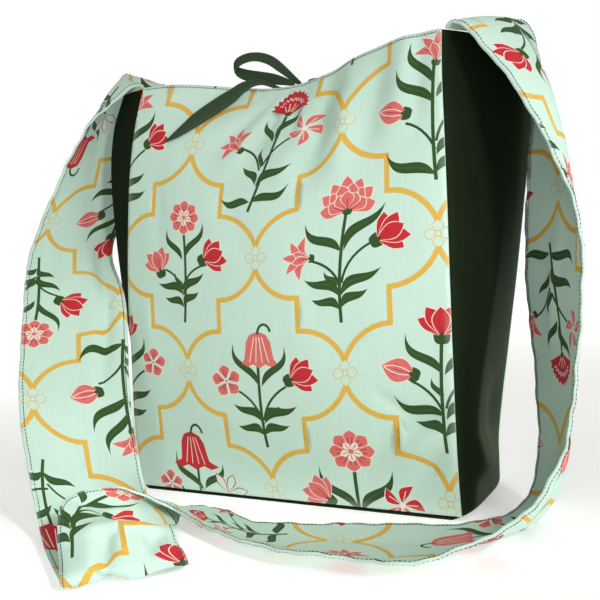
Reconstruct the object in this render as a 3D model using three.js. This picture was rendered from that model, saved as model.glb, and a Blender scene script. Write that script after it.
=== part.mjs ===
// Cotton messenger bag standing on its flat base, mouth tied with a bow, strap laid on the floor.
// Millimetres. Origin at the middle of the base, +X to the right, +Y to the back, +Z up.
import * as THREE from 'three';

// Thickness of each cloth layer and the clearance kept along every seam.
const PANEL_WALL = 1.6;
const GUSSET_WALL = 1.8;
const STRAP_WALL = 1.8;
const TIE_WALL = 1.5;
const SEAM_GAP = 0.8;

// Heights and shaping of the bag.
const PANEL_FOOT = 3.0;
const TOP_CORNER = 350.0;
const TOP_DIP = 15.0;
const TOP_DIP_CENTRE = -8.0;
const TOP_DIP_REACH = 128.0;
const PINCH_CENTRE = -15.0;
const PINCH_REACH = 128.0;
const PINCH_START = 225.0;
const FRONT_PINCH = 40.0;
const BACK_PINCH = 13.5;
const BASE_FRONT = -47.6;
const BASE_BACK = 47.6;
const BASE_CORNER = 7.0;
const DENT_DEPTH = 7.0;

// Grid steps of the walls.
const PANEL_COLUMNS = 22;
const PANEL_ROWS = 20;
const GUSSET_COLUMNS = 8;
const STRAP_COLUMNS = 7;
const STRAP_STEPS = 3;

// One row per height: seam positions of the front and back panels, outward bulge of the
// left and right gusset, and how far the front and back panels belly out.
const SECTION_COLUMNS = ['z', 'frontLeftX', 'frontRightX', 'frontY', 'backLeftX', 'backLeftY',
  'backRightX', 'backRightY', 'bulgeLeft', 'bulgeRight', 'bellyFront', 'bellyBack'];
const SECTION_ROWS = [
  [0, -147, 143, -48, -145, 48, 143, 48, 0, 6, 0, 0],
  [30, -150, 142, -46, -146, 47, 143, 51, 6, 7, 5, 4],
  [60, -152, 141.5, -44, -147, 45, 146, 57, 13, 6, 9, 7],
  [110, -153, 141, -39, -148, 41, 152.5, 66, 22, 6, 12, 9],
  [165, -155, 140.5, -33, -149, 36, 160, 75.5, 31, 6, 13, 9],
  [225, -155, 139.5, -24.5, -149, 29, 167.5, 84, 37.5, 6, 11, 7],
  [280, -154, 137.5, -14.7, -148, 30, 174.5, 91, 43, 5, 6, 4],
  [320, -150, 135.5, -6, -146, 35, 175, 95, 44, 4, 2, 1],
  [350, -143.6, 135, 1.1, -144, 44, 162, 96, 40, 3, 0, 0],
];

// One row per place along the strap, from the left gusset over the floor to the right gusset:
// front edge, back edge and the bow of the middle of the width.
const STRAP_COLUMN_NAMES = ['frontX', 'frontY', 'frontZ', 'backX', 'backY', 'backZ',
  'bowX', 'bowY', 'bowZ'];
const STRAP_ROWS = [
  [-146, 6, 350.6, -146, 40, 350.6, -37, 0, 0],
  [-150, 4, 354, -153, 49, 358.5, -28, 0, 9.5],
  [-166, -1, 347, -174, 62, 355, -20, 0, 18],
  [-193, -24, 318, -199, 58, 316, -11, 0, 8],
  [-222, -50, 254, -204, 37, 254, -4, 0, 0],
  [-217, -83, 209, -198, 0, 207, -5, 3, 0],
  [-202, -108, 172, -153.8, -38.2, 163, -9, 7, 0],
  [-169, -153, 98, -109, -94, 87, -5, 6, -2],
  [-148, -168, 34, -85, -113, 22, -4, 4, -7],
  [-117, -190, 3.2, -44, -140, 3.2, 0, 0, -1],
  [-66, -226, 2.4, -4, -175, 2.4, 0, 0, 0],
  [-52, -238, 9, 10, -188, 9, 2, -2, 0],
  [-74, -216, 19, -6, -177, 15, 0, 0, 6],
  [-92, -194, 38, -20, -165, 21, 0, 4, -2],
  [-92, -172, 41, -29, -154, 16, -3, 10, -10],
  [-83, -151, 38, -36, -142, 10, -7, 13, -7],
  [-69, -134, 28, -46, -127, 6.5, -12, 18, -4],
  [-52, -128, 18.5, -60, -106, 4, -17, 20, -3],
  [-28, -132, 12, -67, -85, 2.6, -12, 6, 0],
  [6, -147, 12.5, -40, -80, 2, 0, 0, -3],
  [38, -157.5, 13, 0, -96, 2, 0, 0, -4],
  [72, -163, 13.5, 38, -90.5, 2, 0, 0, -4],
  [108, -160, 13, 67, -82, 2, 0, 0, -4],
  [139, -160, 13, 99, -72, 2, 0, 0, -4],
  [158, -148, 14, 126, -66, 2, 0, 0, -5],
  [177, -135, 19.5, 148, -57, 2, 0, 0, -6],
  [191.5, -119, 24.5, 165, -41.5, 2.4, 2, 0, -8],
  [202, -97, 29, 175, -22, 3.6, 5, 0, -9],
  [209, -72, 38, 179.5, 4.5, 10.5, 8, 0, -9],
  [219, -52, 62, 183, 20, 40, 8, 2, -6],
  [226, -40, 111, 180, 33, 102, 6, 3, 0],
  [230, -28, 159, 175, 43, 149, 5, 3, 0],
  [228, -19, 203, 174, 52, 193, 10, 3, 0],
  [215, -13, 243, 176, 60, 236, 15.5, 2, 2],
  [190, -7, 295, 180.5, 68, 288, 19.5, 0, 3],
  [164, -1, 333, 185, 80, 326, 12, 0, 3],
  [149, 2, 350.6, 178, 87, 356, 6, 0, 3],
  [141, 4, 354, 165, 91, 364, 2, 0, 2],
  [136.8, 6, 350.6, 158.6, 90, 350.6, 3, -1, 0],
];

// Tie bands: one row per place along the band, its middle line and half the width as a vector.
const BAND_COLUMNS = ['x', 'y', 'z', 'halfX', 'halfY', 'halfZ'];
const LOOP_LEFT_ROWS = [
  [-8.5, 45.5, 337.4, 0.5, 0.9, 1.6],
  [-18, 47, 345.6, 1.8, 1, 1.8],
  [-28.7, 48, 355.1, 2.4, 1.6, 2.6],
  [-38.5, 48.5, 362.9, 2, 2.4, 3.2],
  [-50.3, 48.2, 367.9, 0.8, 3.2, 3.9],
  [-62.5, 47.6, 368.8, -0.8, 3.2, 4.6],
  [-71.8, 46.6, 365.6, -2, 3, 4.7],
  [-72.3, 45.2, 359.6, -1.8, 2.8, 4.8],
  [-62.6, 45.4, 354, 0, 2, 5],
  [-48.4, 45.6, 349.7, 0.6, 1.6, 5],
  [-33, 45, 345.4, 0.7, 1.2, 4.4],
  [-11.8, 41, 338, 0.4, 0.9, 1.7],
];
const LOOP_RIGHT_ROWS = [
  [2.9, 41, 331.4, 0, 0.9, 2.4],
  [14, 41, 332.6, 0, 1.4, 4.4],
  [28, 42, 331, 0, 1.6, 5],
  [40, 44, 325.5, 1.2, 1.8, 5],
  [44.5, 46.2, 320, 2.2, 1.8, 4.6],
  [38.5, 48, 318, 1.2, 1.8, 5],
  [26, 46.6, 321.5, -0.8, 1.6, 5],
  [13.5, 44.4, 325.6, -0.8, 1.2, 3.6],
  [2.9, 42.6, 326.6, 0, 0.5, 1.2],
];
const TAIL_FRONT_ROWS = [
  [-18.6, 41.5, 333.6, -0.4, 0.6, 1.3],
  [-25.5, 41.2, 335, -0.8, 1.4, 1.9],
  [-33.5, 39, 339.2, -1.4, 1.6, 1.8],
  [-42, 33.2, 342.8, -2.2, 2.4, 2.7],
  [-53.4, 27.7, 340.9, -2.8, 0.7, 3.6],
  [-62, 20.7, 333.8, -3.8, 0.8, 4.7],
  [-69.8, 14.6, 328.2, -4.3, 1, 5.3],
  [-85.9, 2.6, 316.9, -4.1, 1, 5],
  [-94.8, -3, 310.5, -3.2, 0.9, 4],
  [-103.6, -7.9, 304.2, -2.2, 0.6, 2.7],
  [-113.9, -11.6, 298.6, -0.5, 0.1, 0.5],
];
const TAIL_BACK_ROWS = [
  [1.2, 44.6, 334.8, 1.6, 0.4, 0.2],
  [2, 48.6, 339.2, 4.2, 1, 0.2],
  [3.5, 55.2, 339.4, 5.4, 1.8, 0.2],
  [5.5, 56.1, 330, 5.8, 1.5, 0.6],
  [8, 56.5, 322, 5.8, 1.5, 1],
  [11.5, 58.6, 308, 5.8, 1.3, 1.4],
  [15, 61.4, 294, 5.8, 1.2, 1.6],
  [18, 63.8, 281, 1.2, 0.2, 0.4],
];
const BAND_STEPS = 3;
const BAND_COLUMNS_ACROSS = 2;

// Knot of the bow.
const KNOT_CENTRE = new THREE.Vector3(-8, 41.3, 329.5);
const KNOT_HALF = new THREE.Vector3(10.2, 6.4, 6.2);
const KNOT_SEGMENTS = 18;
const KNOT_RINGS = 12;

const PRINT_CLOTH = { color: 0xc3dccd, roughness: 0.85, metalness: 0.0 };
const PLAIN_CLOTH = { color: 0x27331f, roughness: 0.9, metalness: 0.0 };
const TIE_CLOTH = { color: 0x364a31, roughness: 0.9, metalness: 0.0 };

function clamp01(value) {
  return Math.min(1, Math.max(0, value));
}

function smooth(value) {
  const t = clamp01(value);
  return t * t * (3 - 2 * t);
}

function bell(offset, reach) {
  if (Math.abs(offset) >= reach) {
    return 0;
  }
  return Math.cos((Math.PI / 2) * (offset / reach)) ** 2;
}

// Smooth curve through equally spaced rows of numbers.
function throughRows(rows, position) {
  const last = rows.length - 1;
  const i = Math.min(last - 1, Math.max(0, Math.floor(position)));
  const t = position - i;
  const b = rows[i];
  const c = rows[i + 1];
  const a = i > 0 ? rows[i - 1] : b.map((v, k) => 2 * v - c[k]);
  const d = i + 2 <= last ? rows[i + 2] : c.map((v, k) => 2 * v - b[k]);
  return b.map((v, k) => {
    const m0 = (c[k] - a[k]) / 2;
    const m1 = (d[k] - v) / 2;
    const t2 = t * t;
    const t3 = t2 * t;
    const start = (2 * t3 - 3 * t2 + 1) * v + (t3 - 2 * t2 + t) * m0;
    return start + (3 * t2 - 2 * t3) * c[k] + (t3 - t2) * m1;
  });
}

// Bag section at a height, with slopes that fit unequal row spacing.
function section(z) {
  const rows = SECTION_ROWS;
  const last = rows.length - 1;
  let i = 0;
  while (i < last - 1 && z > rows[i + 1][0]) {
    i += 1;
  }
  const span = rows[i + 1][0] - rows[i][0];
  const t = (z - rows[i][0]) / span;
  const slope = (k, n) => {
    const lo = Math.max(0, n - 1);
    const hi = Math.min(last, n + 1);
    return (rows[hi][k] - rows[lo][k]) / (rows[hi][0] - rows[lo][0]);
  };
  const out = {};
  SECTION_COLUMNS.forEach((name, k) => {
    const t2 = t * t;
    const t3 = t2 * t;
    out[name] = (2 * t3 - 3 * t2 + 1) * rows[i][k] + (t3 - 2 * t2 + t) * span * slope(k, i)
      + (3 * t2 - 2 * t3) * rows[i + 1][k] + (t3 - t2) * span * slope(k, i + 1);
  });
  out.z = z;
  return out;
}

function topHeight(x) {
  return TOP_CORNER - TOP_DIP * bell(x - TOP_DIP_CENTRE, TOP_DIP_REACH);
}

function pinchAt(x, z) {
  const rise = smooth((z - PINCH_START) / (TOP_CORNER - PINCH_START));
  return bell(x - PINCH_CENTRE, PINCH_REACH) * rise ** 1.4;
}

// Middle surface of the front panel, u from left to right and v from foot to top edge.
function frontPoint(u, v) {
  const guess = section(TOP_CORNER);
  const topX = guess.frontLeftX + (guess.frontRightX - guess.frontLeftX) * u;
  const z = PANEL_FOOT + (topHeight(topX) - PANEL_FOOT) * v;
  const s = section(z);
  const x = s.frontLeftX + (s.frontRightX - s.frontLeftX) * u;
  const belly = s.bellyFront * Math.sin(Math.PI * u);
  const y = s.frontY + PANEL_WALL / 2 - belly + FRONT_PINCH * pinchAt(x, z);
  return new THREE.Vector3(x, y, z);
}

// Middle surface of the back panel, u from left to right and v from foot to top edge.
function backPoint(u, v) {
  const guess = section(TOP_CORNER);
  const topX = guess.backLeftX + (guess.backRightX - guess.backLeftX) * u;
  const z = PANEL_FOOT + (topHeight(topX) - PANEL_FOOT) * v;
  const s = section(z);
  const x = s.backLeftX + (s.backRightX - s.backLeftX) * u;
  const seamY = s.backLeftY + (s.backRightY - s.backLeftY) * u;
  const belly = s.bellyBack * Math.sin(Math.PI * u);
  const y = seamY - PANEL_WALL / 2 + belly - BACK_PINCH * pinchAt(x, z);
  return new THREE.Vector3(x, y, z);
}

// Side gusset across its width at a height. Side is -1 for left and +1 for right.
// The left side swells as a round arch, the right side as a flatter one with steep edges.
function gussetSidePoint(side, z, across) {
  const s = section(z);
  const frontX = side < 0 ? s.frontLeftX : s.frontRightX;
  const backX = side < 0 ? s.backLeftX : s.backRightX;
  const backY = side < 0 ? s.backLeftY : s.backRightY;
  const bulge = side < 0 ? s.bulgeLeft : s.bulgeRight;
  const power = side < 0 ? 2 : 4;
  const run = new THREE.Vector2(backX - frontX, backY - s.frontY);
  const out = new THREE.Vector2(-1, 0);
  if (side > 0) {
    out.set(run.y, -run.x).normalize();
  }
  const leave = run.clone().addScaledVector(out, 2 * power * bulge);
  const arrive = run.clone().addScaledVector(out, -2 * power * bulge);
  const inset = PANEL_WALL + SEAM_GAP;
  const inFront = inset + (GUSSET_WALL / 2) * Math.abs(leave.x) / leave.length();
  const inBack = inset + (GUSSET_WALL / 2) * Math.abs(arrive.x) / arrive.length();
  const y0 = s.frontY + inFront;
  const y1 = backY - inBack;
  const x0 = frontX - side * (GUSSET_WALL / 2);
  const x1 = backX - side * (GUSSET_WALL / 2);
  const hump = bulge * (1 - Math.abs(2 * across - 1) ** power);
  const dent = side > 0 ? DENT_DEPTH * bell(z - 62, 46) * bell(across - 0.72, 0.3) : 0;
  const x = x0 + (x1 - x0) * across + out.x * hump - side * dent;
  const y = y0 + (y1 - y0) * across + out.y * hump;
  return new THREE.Vector3(x, y, z);
}

// Places along the gusset from the left top, under the base and up to the right top.
function gussetPath() {
  const upper = [349.6, 335, 320, 300, 280, 255, 230, 200, 170, 140];
  const lower = [110, 85, 65, 48, 34, 22, 13, BASE_CORNER];
  const heights = upper.concat(lower);
  const path = heights.map((z) => ({ side: -1, z }));
  [60, 30].forEach((angle) => path.push({ side: -1, angle }));
  for (let i = 0; i <= 10; i += 1) {
    path.push({ side: 0, along: i / 10 });
  }
  [30, 60].forEach((angle) => path.push({ side: 1, angle }));
  heights.slice().reverse().forEach((z) => path.push({ side: 1, z }));
  return path;
}

function gussetPoint(place, across) {
  const floor = GUSSET_WALL / 2;
  const radius = BASE_CORNER - floor;
  const left = gussetSidePoint(-1, BASE_CORNER, across);
  const right = gussetSidePoint(1, BASE_CORNER, across);
  const baseY = BASE_FRONT + (BASE_BACK - BASE_FRONT) * across;
  if (place.z !== undefined) {
    return gussetSidePoint(place.side, place.z, across);
  }
  if (place.angle !== undefined) {
    const corner = place.side < 0 ? left : right;
    const turn = (place.angle * Math.PI) / 180;
    const x = corner.x - place.side * radius * (1 - Math.sin(turn));
    const z = floor + radius * (1 - Math.cos(turn));
    return new THREE.Vector3(x, gussetSidePoint(place.side, z, across).y, z);
  }
  const x = left.x + radius + (right.x - left.x - 2 * radius) * place.along;
  return new THREE.Vector3(x, baseY, floor);
}

// Strap across its width at a place along its length.
function strapPoint(position, across) {
  const row = throughRows(STRAP_ROWS, position);
  const at = Object.fromEntries(STRAP_COLUMN_NAMES.map((name, k) => [name, row[k]]));
  const bow = 4 * across * (1 - across);
  const point = new THREE.Vector3(
    at.frontX + (at.backX - at.frontX) * across + at.bowX * bow,
    at.frontY + (at.backY - at.frontY) * across + at.bowY * bow,
    at.frontZ + (at.backZ - at.frontZ) * across + at.bowZ * bow,
  );
  point.z = Math.max(point.z, STRAP_WALL / 2 + 0.3);
  return point;
}

// Tie band across its width at a place along its length.
function bandPoint(rows, position, across) {
  const row = throughRows(rows, position);
  const at = Object.fromEntries(BAND_COLUMNS.map((name, k) => [name, row[k]]));
  const k = 2 * across - 1;
  return new THREE.Vector3(at.x + k * at.halfX, at.y + k * at.halfY, at.z + k * at.halfZ);
}

// Closed cloth wall from a grid of points on its middle surface.
function wall(grid, thickness) {
  const rows = grid.length;
  const columns = grid[0].length;
  const outer = [];
  const inner = [];
  for (let i = 0; i < rows; i += 1) {
    for (let j = 0; j < columns; j += 1) {
      const along = grid[Math.min(rows - 1, i + 1)][j].clone().sub(grid[Math.max(0, i - 1)][j]);
      const across = grid[i][Math.min(columns - 1, j + 1)].clone().sub(grid[i][Math.max(0, j - 1)]);
      const normal = across.cross(along).normalize();
      outer.push(grid[i][j].clone().addScaledVector(normal, thickness / 2));
      inner.push(grid[i][j].clone().addScaledVector(normal, -thickness / 2));
    }
  }
  const points = outer.concat(inner);
  const shift = rows * columns;
  const faces = [];
  const quad = (a, b, c, d) => {
    faces.push(a, b, c);
    faces.push(a, c, d);
  };
  const at = (i, j) => i * columns + j;
  for (let i = 0; i + 1 < rows; i += 1) {
    for (let j = 0; j + 1 < columns; j += 1) {
      quad(at(i, j), at(i, j + 1), at(i + 1, j + 1), at(i + 1, j));
      quad(shift + at(i, j), shift + at(i + 1, j), shift + at(i + 1, j + 1), shift + at(i, j + 1));
    }
  }
  const rim = (a, b) => quad(b, a, shift + a, shift + b);
  for (let j = 0; j + 1 < columns; j += 1) {
    rim(at(0, j), at(0, j + 1));
    rim(at(rows - 1, j + 1), at(rows - 1, j));
  }
  for (let i = 0; i + 1 < rows; i += 1) {
    rim(at(i + 1, 0), at(i, 0));
    rim(at(i, columns - 1), at(i + 1, columns - 1));
  }
  return solid(points, faces);
}

function solid(points, faces) {
  const geometry = new THREE.BufferGeometry();
  const numbers = points.flatMap((p) => [p.x, p.y, p.z]);
  geometry.setAttribute('position', new THREE.Float32BufferAttribute(numbers, 3));
  geometry.setIndex(faces);
  geometry.computeVertexNormals();
  return geometry;
}

// Rounded lump of the knot, slightly boxy so that it reads as wrapped cloth.
function knot() {
  const points = [];
  const faces = [];
  const boxy = (value) => Math.sign(value) * Math.abs(value) ** 0.8;
  points.push(new THREE.Vector3(0, 0, 1).multiply(KNOT_HALF).add(KNOT_CENTRE));
  for (let i = 1; i < KNOT_RINGS; i += 1) {
    const polar = (Math.PI * i) / KNOT_RINGS;
    for (let j = 0; j < KNOT_SEGMENTS; j += 1) {
      const turn = (2 * Math.PI * j) / KNOT_SEGMENTS;
      const ring = Math.sin(polar) ** 0.8;
      const x = ring * boxy(Math.cos(turn));
      const y = ring * boxy(Math.sin(turn));
      const unit = new THREE.Vector3(x, y, boxy(Math.cos(polar)));
      points.push(unit.multiply(KNOT_HALF).add(KNOT_CENTRE));
    }
  }
  points.push(new THREE.Vector3(0, 0, -1).multiply(KNOT_HALF).add(KNOT_CENTRE));
  const foot = points.length - 1;
  const at = (i, j) => 1 + (i - 1) * KNOT_SEGMENTS + (j % KNOT_SEGMENTS);
  for (let j = 0; j < KNOT_SEGMENTS; j += 1) {
    faces.push(0, at(1, j), at(1, j + 1));
    faces.push(foot, at(KNOT_RINGS - 1, j + 1), at(KNOT_RINGS - 1, j));
    for (let i = 1; i + 1 < KNOT_RINGS; i += 1) {
      faces.push(at(i, j), at(i + 1, j), at(i + 1, j + 1));
      faces.push(at(i, j), at(i + 1, j + 1), at(i, j + 1));
    }
  }
  return solid(points, faces);
}

function grid(rows, columns, pointAt) {
  const out = [];
  for (let i = 0; i <= rows; i += 1) {
    const line = [];
    for (let j = 0; j <= columns; j += 1) {
      line.push(pointAt(i, j));
    }
    out.push(line);
  }
  return out;
}

const group = new THREE.Group();
group.name = 'cotton_messenger_bag';

function add(name, geometry, cloth) {
  const mesh = new THREE.Mesh(geometry, new THREE.MeshStandardMaterial(cloth));
  mesh.name = name;
  group.add(mesh);
}

const frontAt = (i, j) => frontPoint(j / PANEL_COLUMNS, i / PANEL_ROWS);
const frontGrid = grid(PANEL_ROWS, PANEL_COLUMNS, frontAt);
add('front_panel', wall(frontGrid, PANEL_WALL), PRINT_CLOTH);

const backAt = (i, j) => backPoint(1 - j / PANEL_COLUMNS, i / PANEL_ROWS);
const backGrid = grid(PANEL_ROWS, PANEL_COLUMNS, backAt);
add('back_panel', wall(backGrid, PANEL_WALL), PRINT_CLOTH);

const path = gussetPath();
const gussetAt = (i, j) => gussetPoint(path[i], j / GUSSET_COLUMNS);
const gussetGrid = grid(path.length - 1, GUSSET_COLUMNS, gussetAt);
add('gusset', wall(gussetGrid, GUSSET_WALL), PLAIN_CLOTH);

const strapRows = (STRAP_ROWS.length - 1) * STRAP_STEPS;
const strapAt = (i, j) => strapPoint(i / STRAP_STEPS, j / STRAP_COLUMNS);
const strapGrid = grid(strapRows, STRAP_COLUMNS, strapAt);
add('strap', wall(strapGrid, STRAP_WALL), PRINT_CLOTH);

add('tie_knot', knot(), TIE_CLOTH);
const bands = [
  ['tie_loop_left', LOOP_LEFT_ROWS],
  ['tie_loop_right', LOOP_RIGHT_ROWS],
  ['tie_tail_front', TAIL_FRONT_ROWS],
  ['tie_tail_back', TAIL_BACK_ROWS],
];
bands.forEach(([name, rows]) => {
  const steps = (rows.length - 1) * BAND_STEPS;
  const bandAt = (i, j) => bandPoint(rows, i / BAND_STEPS, j / BAND_COLUMNS_ACROSS);
  const band = grid(steps, BAND_COLUMNS_ACROSS, bandAt);
  add(name, wall(band, TIE_WALL), TIE_CLOTH);
});

export default group;
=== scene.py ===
# %% [markdown]
# A printed cotton messenger bag stands on its base. Its mouth is tied shut with a bow, and its long strap
# lies on the floor in front of it. Such a bag could be modelled here from nothing, but its plain cloth
# walls already exist at full size. They are loaded first as a fixed frame, and the lesson then replaces
# each wall with finished cloth in the same place, so that every tool agrees on where a piece is.

import math

import bpy
import numpy as np
from mathutils import Matrix, Vector
from mathutils.geometry import delaunay_2d_cdt


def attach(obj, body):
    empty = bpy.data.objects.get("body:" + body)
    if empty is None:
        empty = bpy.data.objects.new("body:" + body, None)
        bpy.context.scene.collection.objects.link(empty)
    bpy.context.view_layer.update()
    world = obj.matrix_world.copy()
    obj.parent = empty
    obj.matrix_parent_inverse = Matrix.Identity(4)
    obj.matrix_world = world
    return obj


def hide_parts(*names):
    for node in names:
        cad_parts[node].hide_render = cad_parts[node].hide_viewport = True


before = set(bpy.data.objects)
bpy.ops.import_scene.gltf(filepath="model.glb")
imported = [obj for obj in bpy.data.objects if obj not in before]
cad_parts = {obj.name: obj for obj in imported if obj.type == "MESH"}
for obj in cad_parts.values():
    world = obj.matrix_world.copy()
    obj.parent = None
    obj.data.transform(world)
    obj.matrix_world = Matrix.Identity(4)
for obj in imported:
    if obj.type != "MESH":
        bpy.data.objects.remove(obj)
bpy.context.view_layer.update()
print("plain walls:", sorted(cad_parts))

# %% [markdown]
# The camera stands to the right of the bag, a little above the middle of its height, and looks slightly
# down. It could be aimed with a Track To constraint, which keeps the horizon level. This view was fitted
# to the corners of the front panel and to crossings of its print, and such a fit gives three axes: right,
# up and forward. They become the columns of the camera's matrix, which also keeps the slight roll of the
# view.

# %% Camera
EYE = (0.3385, -0.5920, 0.2123)
RIGHT = (0.8683, 0.4893, -0.0814)
UP = (0.0301, 0.1119, 0.9933)
FORWARD = (-0.4951, 0.8649, -0.0824)
LENS, SENSOR = 49.85, 36.0
camera = bpy.data.objects.new("camera", bpy.data.cameras.new("camera"))
camera.data.lens = LENS
camera.data.sensor_width = SENSOR
bpy.context.collection.objects.link(camera)
camera.matrix_world = Matrix(
    [[RIGHT[k], UP[k], -FORWARD[k], EYE[k]] for k in range(3)] + [[0, 0, 0, 1]]
)
bpy.context.scene.camera = camera
print("camera lens", LENS, "mm")

# %% [markdown]
# The bag is shown in a white studio. A picture of a sky could light it, but a plain even sky gives soft
# shadows and needs no image. A Light Path node lets the camera see pure white, while the cloth gets a
# dimmer and slightly warm light. The colour sockets of a Mix node share their names with its other kinds
# of socket, so they are found by number.

# %% Sky
SKY_ON_CLOTH, SKY_SEEN = 0.26, 1.0
WARM, WHITE = (1.0, 1.0, 0.9, 1.0), (1.0, 1.0, 1.0, 1.0)
MIX_FACTOR, MIX_FIRST, MIX_SECOND, MIX_RESULT = 0, 6, 7, 2
scene = bpy.context.scene
scene.view_settings.view_transform = "Standard"
world = bpy.data.worlds.new("studio_sky")
scene.world = world
world.use_nodes = True
sky_tree = world.node_tree
sky = sky_tree.nodes["Background"]
seen = sky_tree.nodes.new("ShaderNodeLightPath")
level = sky_tree.nodes.new("ShaderNodeMapRange")
level.inputs["To Min"].default_value = SKY_ON_CLOTH
level.inputs["To Max"].default_value = SKY_SEEN
warmth = sky_tree.nodes.new("ShaderNodeMix")
warmth.data_type = "RGBA"
warmth.inputs[MIX_FIRST].default_value = WARM
warmth.inputs[MIX_SECOND].default_value = WHITE
sky_tree.links.new(seen.outputs["Is Camera Ray"], warmth.inputs[MIX_FACTOR])
sky_tree.links.new(warmth.outputs[MIX_RESULT], sky.inputs["Color"])
sky_tree.links.new(seen.outputs["Is Camera Ray"], level.inputs["Value"])
sky_tree.links.new(level.outputs[0], sky.inputs["Strength"])
print("sky strength on the cloth", SKY_ON_CLOTH)

# %% [markdown]
# Cloth shows its folds only when each fold has a light and a dark side, so the key lamp stands at the
# front right. Other lamps fill the front, the right side and the top, one shines on the strap that lies
# on the floor, and one at the back right touches the foot of the dark side cloth. A sun lamp would be
# simpler, but an area lamp has soft shadows, and a narrow beam keeps each lamp mostly to its own place.

# %% Lamps
LAMPS = [
    # name, place, target, size in metres, power in watts, beam in degrees
    ["key_lamp", (1.1, -0.6, 0.75), (0.0, 0.0, 0.12), 0.25, 0.42, 40],
    ["front_lamp", (0.5, -1.4, 0.34), (0.0, -0.02, -0.04), 0.5, 0.36, 46],
    ["side_lamp", (1.5, -0.1, 0.42), (0.1, 0.0, 0.06), 0.3, 0.4, 50],
    ["top_lamp", (-0.2, -0.4, 1.8), (-0.05, -0.1, 0.0), 0.8, 0.7, 60],
    ["pile_lamp", (0.7, -0.5, 0.6), (-0.06, -0.2, 0.02), 0.1, 0.03, 14],
    ["back_lamp", (0.9, 1.0, 0.6), (0.165, 0.055, 0.06), 0.12, 0.32, 11],
]


def soft_lamp(name, place, target, size, power, beam):
    lamp = bpy.data.objects.new(name, bpy.data.lights.new(name, "AREA"))
    lamp.data.size = size
    lamp.data.spread = math.radians(beam)
    lamp.data.energy = power
    bpy.context.collection.objects.link(lamp)
    lamp.location = place
    aim = Vector(target) - Vector(place)
    lamp.rotation_euler = aim.to_track_quat("-Z", "Y").to_euler()
    return lamp


lamps = {row[0]: soft_lamp(*row) for row in LAMPS}
print("lamps:", ", ".join(lamps))

# %% [markdown]
# The floor is a wide sheet of white studio paper. A curved backdrop could hide the line where floor and
# sky meet. Here the floor glows more the further it is from the bag, so it fades into the white sky,
# while the shadow close to the bag stays.

# %% Floor
FLOOR_SIZE = 16
GLOW_STARTS, GLOW_ENDS = 0.25, 1.1
GLOW_NEAR, GLOW_FAR = 0.36, 0.95
bpy.ops.mesh.primitive_plane_add(size=FLOOR_SIZE)
floor = bpy.context.object
floor.name = "floor"
floor_paint = bpy.data.materials.new("floor_paint")
floor_paint.use_nodes = True
floor_tree = floor_paint.node_tree
paint = floor_tree.nodes["Principled BSDF"]
paint.inputs["Base Color"].default_value = (0.9, 0.9, 0.9, 1)
paint.inputs["Roughness"].default_value = 0.9
paint.inputs["Emission Color"].default_value = WHITE
spot = floor_tree.nodes.new("ShaderNodeNewGeometry")
reach = floor_tree.nodes.new("ShaderNodeVectorMath")
reach.operation = "LENGTH"
glow = floor_tree.nodes.new("ShaderNodeMapRange")
glow.inputs["From Min"].default_value = GLOW_STARTS
glow.inputs["From Max"].default_value = GLOW_ENDS
glow.inputs["To Min"].default_value = GLOW_NEAR
glow.inputs["To Max"].default_value = GLOW_FAR
floor_tree.links.new(spot.outputs["Position"], reach.inputs[0])
floor_tree.links.new(reach.outputs["Value"], glow.inputs["Value"])
floor_tree.links.new(glow.outputs[0], paint.inputs["Emission Strength"])
floor.data.materials.append(floor_paint)
print("floor", FLOOR_SIZE, "m wide")

# %% [markdown]
# All cloth here is worked out by formulas in millimetres. It could be sculpted by hand, but a formula
# gives the same bag every time, and one number corrects it. Two small curves do most of the work: a
# smooth step, and a bell that is one in its middle and nothing beyond its reach. Tables of rows give the
# shapes, and a smooth curve runs through the rows.


# %% Curves through tables
def smooth(value):
    t = np.clip(value, 0, 1)
    return t * t * (3 - 2 * t)


def bell(offset, reach):
    inside = np.abs(offset) < reach
    return np.where(inside, np.cos(np.pi / 2 * np.clip(offset / reach, -1, 1)) ** 2, 0.0)


def hermite(t, start, end, leave, arrive):
    t2, t3 = t * t, t * t * t
    places = (2 * t3 - 3 * t2 + 1) * start + (t3 - 2 * t2 + t) * leave
    return places + (3 * t2 - 2 * t3) * end + (t3 - t2) * arrive


def through_rows(rows, position):
    rows = np.asarray(rows, float)
    longer = np.vstack([2 * rows[0] - rows[1], rows, 2 * rows[-1] - rows[-2]])
    i = np.clip(np.floor(position).astype(int), 0, len(rows) - 2)
    t = (position - i)[:, None]
    a, b, c, d = (longer[i + k] for k in range(4))
    return hermite(t, b, c, (c - a) / 2, (d - b) / 2)


print("bell at half its reach:", round(float(bell(0.5, 1.0)), 3))

# %% [markdown]
# Cloth is measured along itself and thickened along its normals. Blender can find normals on a finished
# mesh, but here they are needed before there is one, so two short functions work them out: one for a
# formula, by stepping a little to each side, and one for a grid of places.


# %% Lengths and normals
def path_length(points):
    return np.concatenate([[0], np.cumsum(np.linalg.norm(np.diff(points, axis=0), axis=1))])


def surface_normals(surface, flat, step=0.4):
    across = surface(flat + (step, 0)) - surface(flat - (step, 0))
    along = surface(flat + (0, step)) - surface(flat - (0, step))
    normal = np.cross(across, along)
    return normal / np.linalg.norm(normal, axis=1)[:, None]


def grid_normals(grid):
    normal = np.cross(np.gradient(grid, axis=1), np.gradient(grid, axis=0)).reshape(-1, 3)
    return normal / np.linalg.norm(normal, axis=1)[:, None]


print("diagonal of a unit square:", round(float(path_length(np.array([[0, 0], [1, 1]]))[-1]), 3))

# %% [markdown]
# A sewn bag has no straight wall: it is pinched at the mouth, full in the middle and square at the base.
# It could be blown up by a cloth simulation, but a table of level cuts follows the seen outline more
# closely. Each row gives, at one height, where the seams of the front and back panels stand, how far the
# side cloth bulges out, and how far the panels belly out.

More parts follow.
